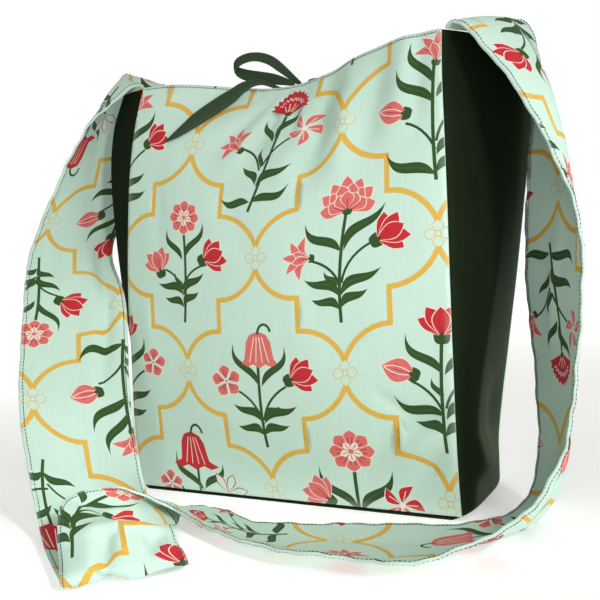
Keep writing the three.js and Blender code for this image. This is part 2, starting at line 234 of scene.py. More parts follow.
# %% Level cuts of the bag
(Z, FRONT_LEFT, FRONT_RIGHT, FRONT_Y, BACK_LEFT, BACK_LEFT_Y, BACK_RIGHT, BACK_RIGHT_Y,
 LEFT_BULGE, RIGHT_BULGE, FRONT_BELLY, BACK_BELLY) = range(12)
CUTS = np.array([
    # z, front left x, front right x, front y, back left x, y, back right x, y, bulges, bellies
    [0, -147, 143, -48, -145, 48, 143, 48, 0, 6, 0, 0],
    [30, -150, 142, -46, -146, 47, 143, 51, 6, 7, 5, 4],
    [60, -152, 141.5, -44, -147, 45, 146, 57, 13, 6, 9, 7],
    [110, -153, 141, -39, -148, 41, 152.5, 66, 22, 6, 12, 9],
    [165, -155, 140.5, -33, -149, 36, 160, 75.5, 31, 6, 13, 9],
    [225, -155, 139.5, -24.5, -149, 29, 167.5, 84, 37.5, 6, 11, 7],
    [280, -154, 137.5, -14.7, -148, 30, 174.5, 91, 43, 5, 6, 4],
    [320, -150, 135.5, -6, -146, 35, 175, 95, 44, 4, 2, 1],
    [350, -143.6, 135, 1.1, -144, 44, 162, 96, 40, 3, 0, 0],
])
LAST_CUT = len(CUTS) - 1
BELOW = np.maximum(np.arange(LAST_CUT + 1) - 1, 0)
ABOVE = np.minimum(np.arange(LAST_CUT + 1) + 1, LAST_CUT)
SLOPES = (CUTS[ABOVE] - CUTS[BELOW]) / (CUTS[ABOVE, :1] - CUTS[BELOW, :1])
MOUTH_TOP, MOUTH_DIP, MOUTH_LOW_AT, MOUTH_REACH = 350.0, 15.0, -8.0, 128.0
PINCH_AT, PINCH_REACH, PINCH_FROM, PINCH_RISE, PINCH_CURVE = -15.0, 128.0, 225.0, 125.0, 1.4


def cut_at(z):
    i = np.clip(np.searchsorted(CUTS[:, Z], z) - 1, 0, LAST_CUT - 1)
    span = (CUTS[i + 1, Z] - CUTS[i, Z])[:, None]
    t = ((z - CUTS[i, Z])[:, None]) / span
    return hermite(t, CUTS[i], CUTS[i + 1], span * SLOPES[i], span * SLOPES[i + 1]).T


def mouth_height(x):
    return MOUTH_TOP - MOUTH_DIP * bell(x - MOUTH_LOW_AT, MOUTH_REACH)


def pinch_at(x, z):
    return bell(x - PINCH_AT, PINCH_REACH) * smooth((z - PINCH_FROM) / PINCH_RISE) ** PINCH_CURVE


print("level cuts:", len(CUTS))

# %% [markdown]
# The tie gathers the mouth, so pleats run out from the knot, and the soft panels have creases of their
# own. Such folds could be drawn with a sculpting brush. Here each fold is a row of a table: a long low
# ridge or groove with a place, a direction and a depth, so that a single fold can be moved or left out.

# %% Panel folds
KNOT_ON_PANEL = (-10.0, 343.0)
PLEAT_MIDDLE, PLEAT_REACH, PLEAT_WIDE, PLEAT_SPREAD = 45, 62, 3.0, 0.11
PLEATS = [
    # direction in degrees, depth outwards
    [-170, -1.2], [-157, -3.4], [-146, 2.0], [-133, -3.8], [-120, 3.2], [-104, -3.4], [-86, 3.0],
    [-70, -3.4], [-56, 3.2], [-43, -3.8], [-31, 3.4], [-20, -2.6], [-10, 1.8],
]
FRONT_FOLDS = [
    # x, z, direction, half length, half width, depth outwards
    [104, 330, -96, 70, 7, 2.0], [118, 318, -92, 60, 6, -2.2], [88, 320, -100, 60, 8, -1.8],
    [33, 296, -96, 66, 10, -8.6], [55, 298, -92, 66, 11, 6.0], [12, 292, -98, 60, 10, 4.6],
    [80, 312, -94, 60, 9, -4.2], [112, 64, 30, 42, 8, -5.4], [106, 48, 26, 42, 6, 4.4],
    [122, 34, 40, 30, 6, -4.0], [84, 42, 20, 44, 9, -3.6], [96, 82, -34, 30, 5, -1.8],
    [62, 40, 10, 40, 8, 1.2], [-118, 240, -84, 60, 8, -1.8], [-128, 130, -80, 60, 8, 1.6],
    [-60, 60, 6, 60, 10, 1.2], [20, 150, -70, 70, 14, 1.2], [-40, 230, -64, 60, 12, -1.4],
]


def along_beside(x, z, direction):
    c, s = math.cos(math.radians(direction)), math.sin(math.radians(direction))
    return x * c + z * s, z * c - x * s


def fold_heights(x, z, folds):
    total = np.zeros_like(x)
    for fold_x, fold_z, direction, long, wide, depth in folds:
        along, beside = along_beside(x - fold_x, z - fold_z, direction)
        total = total + depth * bell(along, long) * np.exp(-((beside / wide) ** 2))
    return total


def pleat_heights(x, z):
    total = np.zeros_like(x)
    for direction, depth in PLEATS:
        along, beside = along_beside(x - KNOT_ON_PANEL[0], z - KNOT_ON_PANEL[1], direction)
        wide = PLEAT_WIDE + PLEAT_SPREAD * np.abs(along)
        total = total + depth * bell(along - PLEAT_MIDDLE, PLEAT_REACH) * np.exp(-((beside / wide) ** 2))
    return total


print("pleats", len(PLEATS), "and front folds", len(FRONT_FOLDS))

# %% [markdown]
# The two panels are flat pieces of cloth before they are sewn. They could be bent with modifiers, but the
# print has to follow the cloth exactly. So a point of the flat cloth is named by x across and z up, and a
# panel function says where that point ends up in the finished bag. Folds fade out at the seams, and the
# back panel lies quiet under the tail of the tie.

# %% Panel surfaces
PANEL_LEFT, PANEL_WIDE = -157.0, 297.0
PANEL_FOOT, PANEL_TALL = 3.0, 350.0
PANEL_WALL = 1.6
SEAM_FADE, FOOT_FADE = 0.06, 0.05
FRONT_TOP_LEFT, FRONT_TOP_WIDE, FRONT_PINCH = -143.6, 278.6, 40.0
BACK_TOP_LEFT, BACK_TOP_WIDE, BACK_PINCH = -144.0, 306.0, 13.5
BACK_PLEAT_SHARE = 0.8
TAIL_ON_BACK, TAIL_REACH, TAIL_PRESS = 14.0, 36, 0.3


def panel_uv(flat):
    u = (flat[:, 0] - PANEL_LEFT) / PANEL_WIDE
    v = (flat[:, 1] - PANEL_FOOT) / PANEL_TALL
    seam_fade = smooth(np.minimum(u, 1 - u) / SEAM_FADE) * smooth(v / FOOT_FADE)
    return u, v, seam_fade


def front_surface(flat):
    u, v, seam_fade = panel_uv(flat)
    z = PANEL_FOOT + (mouth_height(FRONT_TOP_LEFT + FRONT_TOP_WIDE * u) - PANEL_FOOT) * v
    cut = cut_at(z)
    x = cut[FRONT_LEFT] + (cut[FRONT_RIGHT] - cut[FRONT_LEFT]) * u
    soft = 0.7 * np.sin(x / 37 + 1.3) * np.sin(z / 52 + 0.4) + 0.4 * np.sin(x / 19 - z / 43)
    out = (pleat_heights(x, z) + fold_heights(x, z, FRONT_FOLDS) + soft) * seam_fade
    belly = cut[FRONT_BELLY] * np.sin(np.pi * u)
    y = cut[FRONT_Y] + PANEL_WALL / 2 - belly + FRONT_PINCH * pinch_at(x, z) - out
    return np.stack([x, y, z], 1)


def back_surface(flat):
    u, v, seam_fade = panel_uv(flat)
    u = 1 - u
    z = PANEL_FOOT + (mouth_height(BACK_TOP_LEFT + BACK_TOP_WIDE * u) - PANEL_FOOT) * v
    cut = cut_at(z)
    x = cut[BACK_LEFT] + (cut[BACK_RIGHT] - cut[BACK_LEFT]) * u
    soft = 0.8 * np.sin(x / 41 + 0.6) * np.sin(z / 57 + 1.1) + 0.4 * np.sin(x / 21 + z / 40)
    under_tail = bell(x - TAIL_ON_BACK, TAIL_REACH)
    gathers = (BACK_PLEAT_SHARE * pleat_heights(x, z) + soft) * seam_fade
    out = gathers * (1 - under_tail) - TAIL_PRESS * under_tail
    belly = cut[BACK_BELLY] * np.sin(np.pi * u)
    seam_y = cut[BACK_LEFT_Y] + (cut[BACK_RIGHT_Y] - cut[BACK_LEFT_Y]) * u
    y = seam_y - PANEL_WALL / 2 + belly - BACK_PINCH * pinch_at(x, z) + out
    return np.stack([x, y, z], 1)


print("panel cloth", PANEL_WIDE, "x", PANEL_TALL, "mm")

# %% [markdown]
# The strap is one long band. It could be a curve with a flat bevel, but a bevel can't change its twist
# and its bow as freely as laid cloth does. So a table follows the strap from the left side of the mouth,
# down to the floor, through the fold at the front left, along the floor and up again to the right side.
# Each row gives the front edge, the back edge and the bow of the middle.

# %% Strap path
STRAP_WIDE, STRAP_WALL = 88.0, 1.8
STRAP_ROWS = [
    # front x, y, z, back x, y, z, bow x, y, z
    [-146, 6, 350.6, -146, 40, 350.6, -37, 0, 0],
    [-150, 4, 354, -153, 49, 358.5, -28, 0, 9.5],
    [-166, -1, 347, -174, 62, 355, -20, 0, 18],
    [-193, -24, 318, -199, 58, 316, -11, 0, 8],
    [-222, -50, 254, -204, 37, 254, -4, 0, 0],
    [-217, -83, 209, -198, 0, 207, -5, 3, 0],
    [-202, -108, 172, -153.8, -38.2, 163, -9, 7, 0],
    [-169, -153, 98, -109, -94, 87, -5, 6, -2],
    [-148, -168, 34, -85, -113, 22, -4, 4, -7],
    [-117, -190, 3.2, -44, -140, 3.2, 0, 0, -1],
    [-66, -226, 2.4, -4, -175, 2.4, 0, 0, 0],
    [-52, -238, 9, 10, -188, 9, 2, -2, 0],
    [-74, -216, 19, -6, -177, 15, 0, 0, 6],
    [-92, -194, 38, -20, -165, 21, 0, 4, -2],
    [-92, -172, 41, -29, -154, 16, -3, 10, -10],
    [-83, -151, 38, -36, -142, 10, -7, 13, -7],
    [-69, -134, 28, -46, -127, 6.5, -12, 18, -4],
    [-52, -128, 18.5, -60, -106, 4, -17, 20, -3],
    [-28, -132, 12, -67, -85, 2.6, -12, 6, 0],
    [6, -147, 12.5, -40, -80, 2, 0, 0, -3],
    [38, -157.5, 13, 0, -96, 2, 0, 0, -4],
    [72, -163, 13.5, 38, -90.5, 2, 0, 0, -4],
    [108, -160, 13, 67, -82, 2, 0, 0, -4],
    [139, -160, 13, 99, -72, 2, 0, 0, -4],
    [158, -148, 14, 126, -66, 2, 0, 0, -5],
    [177, -135, 19.5, 148, -57, 2, 0, 0, -6],
    [191.5, -119, 24.5, 165, -41.5, 2.4, 2, 0, -8],
    [202, -97, 29, 175, -22, 3.6, 5, 0, -9],
    [209, -72, 38, 179.5, 4.5, 10.5, 8, 0, -9],
    [219, -52, 62, 183, 20, 40, 8, 2, -6],
    [226, -40, 111, 180, 33, 102, 6, 3, 0],
    [230, -28, 159, 175, 43, 149, 5, 3, 0],
    [228, -19, 203, 174, 52, 193, 10, 3, 0],
    [215, -13, 243, 176, 60, 236, 15.5, 2, 2],
    [190, -7, 295, 180.5, 68, 288, 19.5, 0, 3],
    [164, -1, 333, 185, 80, 326, 12, 0, 3],
    [149, 2, 350.6, 178, 87, 356, 6, 0, 3],
    [141, 4, 354, 165, 91, 364, 2, 0, 2],
    [136.8, 6, 350.6, 158.6, 90, 350.6, 3, -1, 0],
]
FRONT_EDGE, BACK_EDGE, BOW = slice(0, 3), slice(3, 6), slice(6, 9)
FLOOR_GAP = 0.3
STRAP_SAMPLES = 1201


def above_floor(point):
    point[:, 2] = np.maximum(point[:, 2], STRAP_WALL / 2 + FLOOR_GAP)
    return point


def strap_place(position, across):
    row = through_rows(STRAP_ROWS, position)
    a = across[:, None]
    return above_floor(row[:, FRONT_EDGE] * (1 - a) + row[:, BACK_EDGE] * a + row[:, BOW] * 4 * a * (1 - a))


STEPS = np.linspace(0, len(STRAP_ROWS) - 1, STRAP_SAMPLES)
MIDDLE = strap_place(STEPS, np.full(len(STEPS), 0.5))
RUN = path_length(MIDDLE)
STRAP_LONG = float(RUN[-1])
print("strap length", round(STRAP_LONG), "mm")

# %% [markdown]
# A strap that has been worn and washed puckers along its sewn edges and creases where it bends. A bump
# texture could hint at that, but the outline would stay smooth. So puckers and creases lift the cloth
# itself along the normal of the bare band, and fade out at its two sewn ends.

# %% Strap surface
PUCKERS = [
    # height, wave length over two pi, shift of the wave, reach from the edge
    [0.35, 2.9, 1, 7],
    [0.5, 7.3, 2, 12],
]
END_FADE, PROBE = 25, 0.5
STRAP_FOLDS = [
    # across, along, direction, half length, half width, depth
    [-26, 46, 92, 36, 4, 1.8], [-14, 48, 86, 36, 4, -1.8], [0, 44, 94, 36, 4, 2.0],
    [14, 48, 88, 36, 4, -1.8], [28, 46, 92, 36, 4, 1.8], [27, 283, 94, 120, 5, 6.0],
    [15, 283, 94, 110, 7, -2.6], [-22, 223, 84, 90, 6, -1.2], [-10, 413, 95, 60, 6, 1.4],
    [6, 433, 70, 40, 6, 1.6], [-26, 143, 80, 50, 5, -1.2], [24, 483, 60, 40, 6, 1.5],
    [-20, 493, 100, 40, 6, -1.4], [2, 622, 8, 62, 7, 5.0], [14, 655, 10, 54, 14, -11.0],
    [-11, 598, 80, 30, 4, -6.0], [-22, 602, 84, 30, 6, 3.2], [1, 600, 82, 30, 6, 3.4],
    [25, 608, 80, 24, 4, -5.0], [15, 606, 84, 22, 5, 2.0], [35, 606, 88, 24, 5, 2.8],
    [-27, 661, 62, 26, 5, -3.4], [-12, 668, 40, 24, 6, 2.4], [-34, 579, 90, 14, 7, 2.2],
    [-9, 577, 90, 13, 6, -2.6], [8, 579, 90, 13, 7, 2.2], [30, 579, 90, 13, 8, -1.8],
    [-28, 713, 70, 30, 6, 1.6], [0, 773, 40, 40, 6, 0.9], [10, 913, 85, 90, 7, 1.0],
    [-8, 1073, 80, 60, 6, 1.0], [12, 1203, 95, 90, 7, -1.6], [-14, 1303, 88, 70, 6, 1.6],
    [20, 1353, 84, 50, 5, -1.4],
]


def strap_bare(flat):
    return strap_place(np.interp(flat[:, 1], RUN, STEPS), flat[:, 0] / STRAP_WIDE + 0.5)


def strap_surface(flat):
    across, along = flat[:, 0], flat[:, 1]
    from_edge = STRAP_WIDE / 2 - np.abs(across)
    pucker = sum(
        height * np.sin(along / wave + shift * np.sign(across)) * np.exp(-((from_edge / reach) ** 2))
        for height, wave, shift, reach in PUCKERS
    )
    ends = smooth(along / END_FADE) * smooth((STRAP_LONG - along) / END_FADE)
    lift = (pucker + fold_heights(across, along, STRAP_FOLDS)) * ends
    return above_floor(strap_bare(flat) + surface_normals(strap_bare, flat, PROBE) * lift[:, None])


print("strap creases", len(STRAP_FOLDS))

# %% [markdown]
# The side cloth, or gusset, is one plain band that goes down the left side, under the base and up the
# right side. It could be cut from a box, but then its edges would not meet the seams of the panels. So it
# is worked out level by level from the same cuts. A small tent with flat sides and sharp creases is
# pushed out near the lower right corner, where the stiff cloth buckles, and the cloth behind it is drawn
# in.

# %% Gusset levels
GUSSET_WALL = 1.8
SEAM_INSET = 2.4
LEFT_ROUND, RIGHT_ROUND = 2, 4
HOLLOW_DEPTH, HOLLOW_Z, HOLLOW_TALL, HOLLOW_ACROSS, HOLLOW_WIDE = 7.0, 62, 46, 0.72, 0.3
TENT = [
    # share across, height
    (0.05, 40), (0.25, 20), (0.52, 13), (0.86, 14), (0.92, 30), (0.85, 47), (0.18, 58),
]
TENT_TOP, TENT_RISE = (0.36, 31), 5.0


def tent(across, z):
    rises = []
    for k in range(len(TENT)):
        (a0, z0), (a1, z1) = TENT[k], TENT[(k + 1) % len(TENT)]
        beside = (a1 - a0) * (z - z0) - (z1 - z0) * (across - a0)
        at_top = (a1 - a0) * (TENT_TOP[1] - z0) - (z1 - z0) * (TENT_TOP[0] - a0)
        rises.append(beside / at_top)
    return TENT_RISE * np.clip(np.min(rises, axis=0), 0, 1)


def side_points(side, z, across):
    cut = cut_at(np.array([z]))[:, 0]
    if side < 0:
        front, back = cut[[FRONT_LEFT, FRONT_Y]], cut[[BACK_LEFT, BACK_LEFT_Y]]
        bulge, power = cut[LEFT_BULGE], LEFT_ROUND
    else:
        front, back = cut[[FRONT_RIGHT, FRONT_Y]], cut[[BACK_RIGHT, BACK_RIGHT_Y]]
        bulge, power = cut[RIGHT_BULGE], RIGHT_ROUND
    run = back - front
    out = np.array([-1.0, 0.0]) if side < 0 else np.array([run[1], -run[0]]) / np.hypot(*run)
    leave, arrive = run + 2 * power * bulge * out, run - 2 * power * bulge * out
    y0 = front[1] + SEAM_INSET + GUSSET_WALL / 2 * abs(leave[0]) / np.hypot(*leave)
    y1 = back[1] - SEAM_INSET - GUSSET_WALL / 2 * abs(arrive[0]) / np.hypot(*arrive)
    hump = bulge * (1 - np.abs(2 * across - 1) ** power)
    x = front[0] + (back[0] - front[0]) * across - side * GUSSET_WALL / 2 + out[0] * hump
    if side > 0:
        hollow = HOLLOW_DEPTH * bell(z - HOLLOW_Z, HOLLOW_TALL) * bell(across - HOLLOW_ACROSS, HOLLOW_WIDE)
        x = x - hollow + tent(across, z)
    y = y0 + (y1 - y0) * across + out[1] * hump
    return np.stack([x, y, np.full_like(across, z)], 1)


print("tent rises", TENT_RISE, "mm")

# %% [markdown]
# The levels are now strung together along the band: down the left side, round a small bend, across the
# base, round the second bend and up the right side. It could be three separate walls, but one band bends
# round the corners without a gap. Rows lie closer together near the foot, where the creases are.

# %% Gusset band
GUSSET_TOP, COARSE_TO, FINE_FROM = 349.6, 78, 75
TALL_ROWS, FINE_ROWS, BASE_ROWS, GUSSET_COLUMNS = 46, 34, 40, 33
BASE_CORNER = 7.0
CORNER_TURNS = np.radians([75, 60, 45, 30, 15])
BASE_FRONT, BASE_DEEP = -47.6, 95.2


def gusset_grid(columns):
    across = np.linspace(0, 1, columns)
    floor_level, radius = GUSSET_WALL / 2, BASE_CORNER - GUSSET_WALL / 2
    heights = np.concatenate([
        np.linspace(GUSSET_TOP, COARSE_TO, TALL_ROWS), np.linspace(FINE_FROM, BASE_CORNER, FINE_ROWS),
    ])
    left, right = (side_points(side, BASE_CORNER, across) for side in (-1, 1))
    rows = [side_points(-1, z, across) for z in heights]
    corners = {-1: [], 1: []}
    for side, corner in ((-1, left), (1, right)):
        for turn in CORNER_TURNS:
            z = floor_level + radius * (1 - math.cos(turn))
            row = side_points(side, z, across)
            row[:, 0] = corner[:, 0] - side * radius * (1 - math.sin(turn))
            corners[side].append(row)
    rows += corners[-1]
    base_y = BASE_FRONT + BASE_DEEP * across
    for along in np.linspace(0, 1, BASE_ROWS):
        x = left[:, 0] + radius + (right[:, 0] - left[:, 0] - 2 * radius) * along
        rows.append(np.stack([x, base_y, np.full_like(x, floor_level)], 1))
    rows += corners[1][::-1]
    rows += [side_points(1, z, across) for z in heights[::-1]]
    return np.array(rows)


GUSSET_GRID = gusset_grid(GUSSET_COLUMNS)
print("gusset places", GUSSET_GRID.shape[:2])

# %% [markdown]
# The print is drawn as flat outlines: a yellow trellis of ogee cells with a small outlined blossom on
# each crossing, and one flower sprig in each cell. It could be a painted image, but outlines stay sharp
# at any distance and need no file. Leaves and petals share one outline, the blade, which runs from a foot
# to a tip, may bow to one side or curl like an S, and is fullest at a chosen place.

# %% Blades, strokes and discs
GROUND, TRELLIS, LEAF, CORAL, RED, PALE, FINE, DEEP = range(8)


def away(x, y, degrees, distance):
    return x + distance * math.cos(math.radians(degrees)), y + distance * math.sin(math.radians(degrees))


def spine(x0, y0, x1, y1, bow, curl, t):
    side = bow * 4 * t * (1 - t) + curl * np.sin(2 * np.pi * t)
    return np.stack([x0 + (x1 - x0) * t - (y1 - y0) * side, y0 + (y1 - y0) * t + (x1 - x0) * side], 1)


def blade(x0, y0, x1, y1, width, bow=0.0, full=0.45, steps=9, curl=0.0, sharp=1.0):
    t = np.linspace(0, 1, steps)
    middle = spine(x0, y0, x1, y1, bow, curl, t)
    half = width / 2 * np.abs(np.sin(np.pi * t ** (math.log(0.5) / math.log(full)))) ** sharp
    out = np.array([y0 - y1, x1 - x0]) / math.hypot(x1 - x0, y1 - y0) * half[:, None]
    return np.vstack([middle + out, (middle - out)[-2:0:-1]])


def petal(x, y, degrees, long, width, bow=0.0, full=0.62, steps=9):
    return blade(x, y, *away(x, y, degrees, long), width, bow, full, steps)


def stroke(points, width):
    p = np.asarray(points, float)
    ahead = np.diff(p, axis=0)
    ahead = ahead / np.linalg.norm(ahead, axis=1)[:, None]
    normal = np.stack([-ahead[:, 1], ahead[:, 0]], 1)
    before, after = np.vstack([normal[:1], normal]), np.vstack([normal, normal[-1:]])
    mitre = (before + after) / (1 + np.sum(before * after, axis=1))[:, None]
    return np.vstack([p + mitre * width / 2, (p - mitre * width / 2)[::-1]])


def bowed(x0, y0, x1, y1, bow, width, steps=8, curl=0.0, end=1.0):
    return stroke(spine(x0, y0, x1, y1, bow, curl, np.linspace(0, end, steps)), width)


def disc(x, y, radius, corners=10):
    turn = np.linspace(0, 2 * np.pi, corners, endpoint=False)
    return np.stack([x + radius * np.cos(turn), y + radius * np.sin(turn)], 1)


print("blade of", len(blade(0, 0, 0, 20, 6)), "corners")

# %% [markdown]
# A printed petal has a thin pale rim, so that it stands out from the petal behind it, and a few fine dark
# lines at its foot. Every flower could be traced by itself, but a few petal functions with a size, a
# heading and a colour can draw them all. What is drawn later covers what was drawn before, so every
# function returns its outlines in painting order.


# %% Petals
def vein(x, y, degrees, start, end, width=0.6, colour=PALE):
    return stroke([away(x, y, degrees, start), away(x, y, degrees, end)], width), colour


def rib(x, y, degrees, long, bow):
    tip = away(x, y, degrees, long)
    return stroke(spine(x, y, *tip, bow, 0.0, np.linspace(0.2, 0.66, 4)), 0.55), DEEP


def rimmed(x, y, degrees, long, width, colour, bow=0.0, full=0.62, lines=(0,)):
    inner = away(x, y, degrees, 0.5)
    parts = [
        (petal(x, y, degrees, long, width, bow, full, 10), PALE),
        (petal(*inner, degrees, long - 1.1, width - 1.3, bow, full, 10), colour),
    ]
    return parts + [rib(x, y, degrees + turn, long, bow) for turn in lines]


def calyx(x, y, heading, size):
    back = away(x, y, heading + 180, size * 0.1)
    return [(petal(*back, heading + turn, size * 0.34, size * 0.2, full=0.4), LEAF) for turn in (-38, 38, 0)]


def petal_ring(x, y, heading, count, long, width, colour, bow, full, lines):
    turns = [heading + 360 * k / count for k in range(count)]
    return [part for turn in turns for part in rimmed(x, y, turn, long, width, colour, bow, full, lines)]


def petal_fan(foot, heading, size, width, colour, table, bend, full, lines=(0,)):
    parts = []
    for turn, long in table:
        parts += rimmed(*foot, heading + turn, size * long, size * width, colour, -turn * bend, full, lines)
    return parts


def outlined(x, y, degrees, long, width, colour, line=0.9):
    inner = away(x, y, degrees, line)
    return [
        (petal(x, y, degrees, long, width, full=0.6, steps=10), colour),
        (petal(*inner, degrees, long - 2 * line, width - 2 * line, full=0.6, steps=10), GROUND),
    ]


print("petal of", len(petal(0, 0, 90, 20, 8)), "corners")

# %% [markdown]
# Some flowers of the print are seen from the front, as a ring of petals round a centre. One star would do
# for the outline, but separate petals overlap as painted ones do.

# %% Flowers seen from the front
FIFTHS = [72 * k for k in range(5)]
ROSETTE_PETALS = 8


def rosette(x, y, heading, size, colour):
    parts = [(disc(x, y, size * 0.6, 12), colour)]
    wide = size * 5.2 / ROSETTE_PETALS
    parts += petal_ring(x, y, heading, ROSETTE_PETALS, size, wide, colour, 0.0, 0.72, (-9, 9))
    parts += [(petal(x, y, heading + 36 + turn, size * 0.5, size * 0.32, full=0.6), PALE) for turn in FIFTHS]
    parts += [vein(x, y, heading + 36 + turn, size * 0.15, size * 0.4, 0.6, RED) for turn in FIFTHS]
    return parts + [(disc(x, y, size * 0.12, 8), colour)]


def five_petal(x, y, heading, size, colour):
    parts = petal_ring(x, y, heading, 5, size, size * 0.8, colour, 0.0, 0.68, (-8, 8))
    return parts + [(disc(x, y, size * 0.15, 8), PALE), (disc(x, y, size * 0.07, 6), DEEP)]


def pinwheel(x, y, heading, size, colour):
    parts = petal_ring(x, y, heading, 5, size, size * 0.5, colour, 0.2, 0.55, ())
    parts += [vein(x, y, heading + 14 + turn, size * 0.2, size * 0.66) for turn in FIFTHS]
    return parts + [(disc(x, y, size * 0.16, 8), PALE)]


print("rosette of", len(rosette(0, 0, 90, 15, CORAL)), "outlines")

# %% [markdown]
# Other flowers are seen from the side, and their petals spread from a foot on the stem. A table gives the
# turn and the length of each petal, back ones first. The frilled carnation is the exception: its edge is
# one zigzag, because its petals are too fine to show one by one.

# %% Flowers seen from the side
# turn from the heading in degrees, length as a share of the size
TULIP = [(-44, 0.84), (44, 0.84), (-22, 0.98), (22, 0.98), (0, 0.9)]
LILY = [(-66, 0.84), (66, 0.84), (-34, 1.0), (34, 1.0), (0, 1.04), (-16, 0.7), (16, 0.7)]
LOTUS = [
    (-24, 1.06), (24, 1.06), (0, 1.14), (-50, 1.0), (50, 1.0), (-78, 0.86), (78, 0.86), (-36, 0.84),
    (36, 0.84), (-12, 0.9), (12, 0.9), (-60, 0.66), (60, 0.66), (-26, 0.64), (26, 0.64), (0, 0.66),
]
FRILL_TURN, FRILL_POINTS = 74, 23


def tulip(x, y, heading, size, colour):
    foot = away(x, y, heading + 180, size * 0.5)
    parts = petal_fan(foot, heading, size, 0.48, colour, TULIP, 0.004, 0.6, (-7, 7))
    return parts + calyx(*foot, heading, size)


def lily(x, y, heading, size, colour):
    foot = away(x, y, heading + 180, size * 0.55)
    parts = petal_fan(foot, heading, size, 0.32, colour, LILY, 0.005, 0.64)
    return parts + calyx(*foot, heading, size * 0.7)


def lotus(x, y, heading, size, colour):
    foot = away(x, y, heading + 180, size * 0.46)
    parts = petal_fan(foot, heading, size, 0.44, colour, LOTUS, 0.0, 0.68)
    return parts + calyx(*foot, heading, size * 0.7)


def carnation(x, y, heading, size, colour):
    foot = away(x, y, heading + 180, size * 0.5)
    turns = np.linspace(-FRILL_TURN, FRILL_TURN, FRILL_POINTS)
    rim = []
    for k, turn in enumerate(turns):
        rim.append(away(*foot, heading + turn, size * (1.0 - 0.1 * (k % 2) - 0.16 * abs(turn) / FRILL_TURN)))
    frill = [away(*foot, heading + t, size * (0.7 - 0.12 * (k % 2))) for k, t in enumerate(turns[3:-3])]
    parts = [(np.array([foot] + rim), colour), (stroke(frill, 0.7), PALE)]
    parts += [vein(*foot, heading + turn, size * 0.14, size * 0.46) for turn in (-36, -12, 12, 36)]
    for turn in range(-60, 61, 15):
        parts.append(vein(*foot, heading + turn, size * 0.74, size * 0.88, 0.6, DEEP))
    return parts + calyx(*foot, heading, size * 0.5)


print("lotus of", len(lotus(0, 0, 90, 25, CORAL)), "outlines")

# %% [markdown]
# The last kinds hang from a hook, wait as a bud or spread like wings. A hanging bell could be turned
# round an axis in space, but the print is flat, so its outline is a list of heights and half widths. A
# bell always hangs straight down, so it takes no notice of its heading.


# %% Bells, buds and wings
def drooping(x, y, heading, size, colour, skirt=0.56):
    profile = [(0.5, 0.08), (0.42, 0.26), (0.2, 0.38), (-0.1, 0.42), (-0.32, 0.46), (-0.46, skirt)]
    scallops = [(-0.56, 0.66), (-0.47, 0.34), (-0.6, 0.0), (-0.47, -0.34), (-0.56, -0.66)]
    right = [(x + w * size, y + h * size) for h, w in profile]
    left = [(x - w * size, y + h * size) for h, w in profile[::-1]]
    bottom = [(x + skirt * w * size, y + h * size) for h, w in scallops]
    parts = [(np.array(right + bottom + left), colour)]
    for w in (-0.3, -0.1, 0.1, 0.3):
        top, end = (x + w * size * 0.4, y + 0.36 * size), (x + w * size, y - 0.42 * size)
        parts.append((bowed(*top, *end, 0.0, 0.7, 3), PALE))
    hook = []
    for a in np.linspace(0, 2.9, 8):
        hook.append((x + size * (0.2 - 0.2 * math.cos(a)), y + size * (0.44 + 0.3 * math.sin(a))))
    return parts + [(stroke(hook, 2.0), LEAF)]


def fan(x, y, heading, size, colour):
    return drooping(x, y, heading, size, colour, 0.74)


def bud(x, y, heading, size, colour):
    foot = away(x, y, heading + 180, size * 0.5)
    parts = rimmed(*foot, heading, size, size * 0.76, colour, 0.0, 0.5, (-14, 0, 14))
    low, high = away(*foot, heading, size * 0.1), away(*foot, heading, size * 0.92)
    parts += [(bowed(*low, *high, bow, 0.7), PALE) for bow in (-0.13, 0.13)]
    return parts + calyx(*foot, heading, size)


def wings(x, y, heading, size, colour):
    parts = []
    for turn in (0, 55, 105):
        parts += outlined(x, y, heading + turn, size, size * 0.42, colour)
    return parts


KINDS = (rosette, five_petal, pinwheel, tulip, lily, lotus, carnation, drooping, fan, bud, wings)
FLOWERS = {kind.__name__: kind for kind in KINDS}
print("flower kinds:", ", ".join(FLOWERS))

# %% [markdown]
# A sprig is a small painted plant. It could be one long list of outlines, but three short tables of
# stems, leaves and flowers are easier to read and to change. They are measured from the middle of the
# sprig's cell. Eight sprigs take turns over the trellis, so no two neighbours are the same.

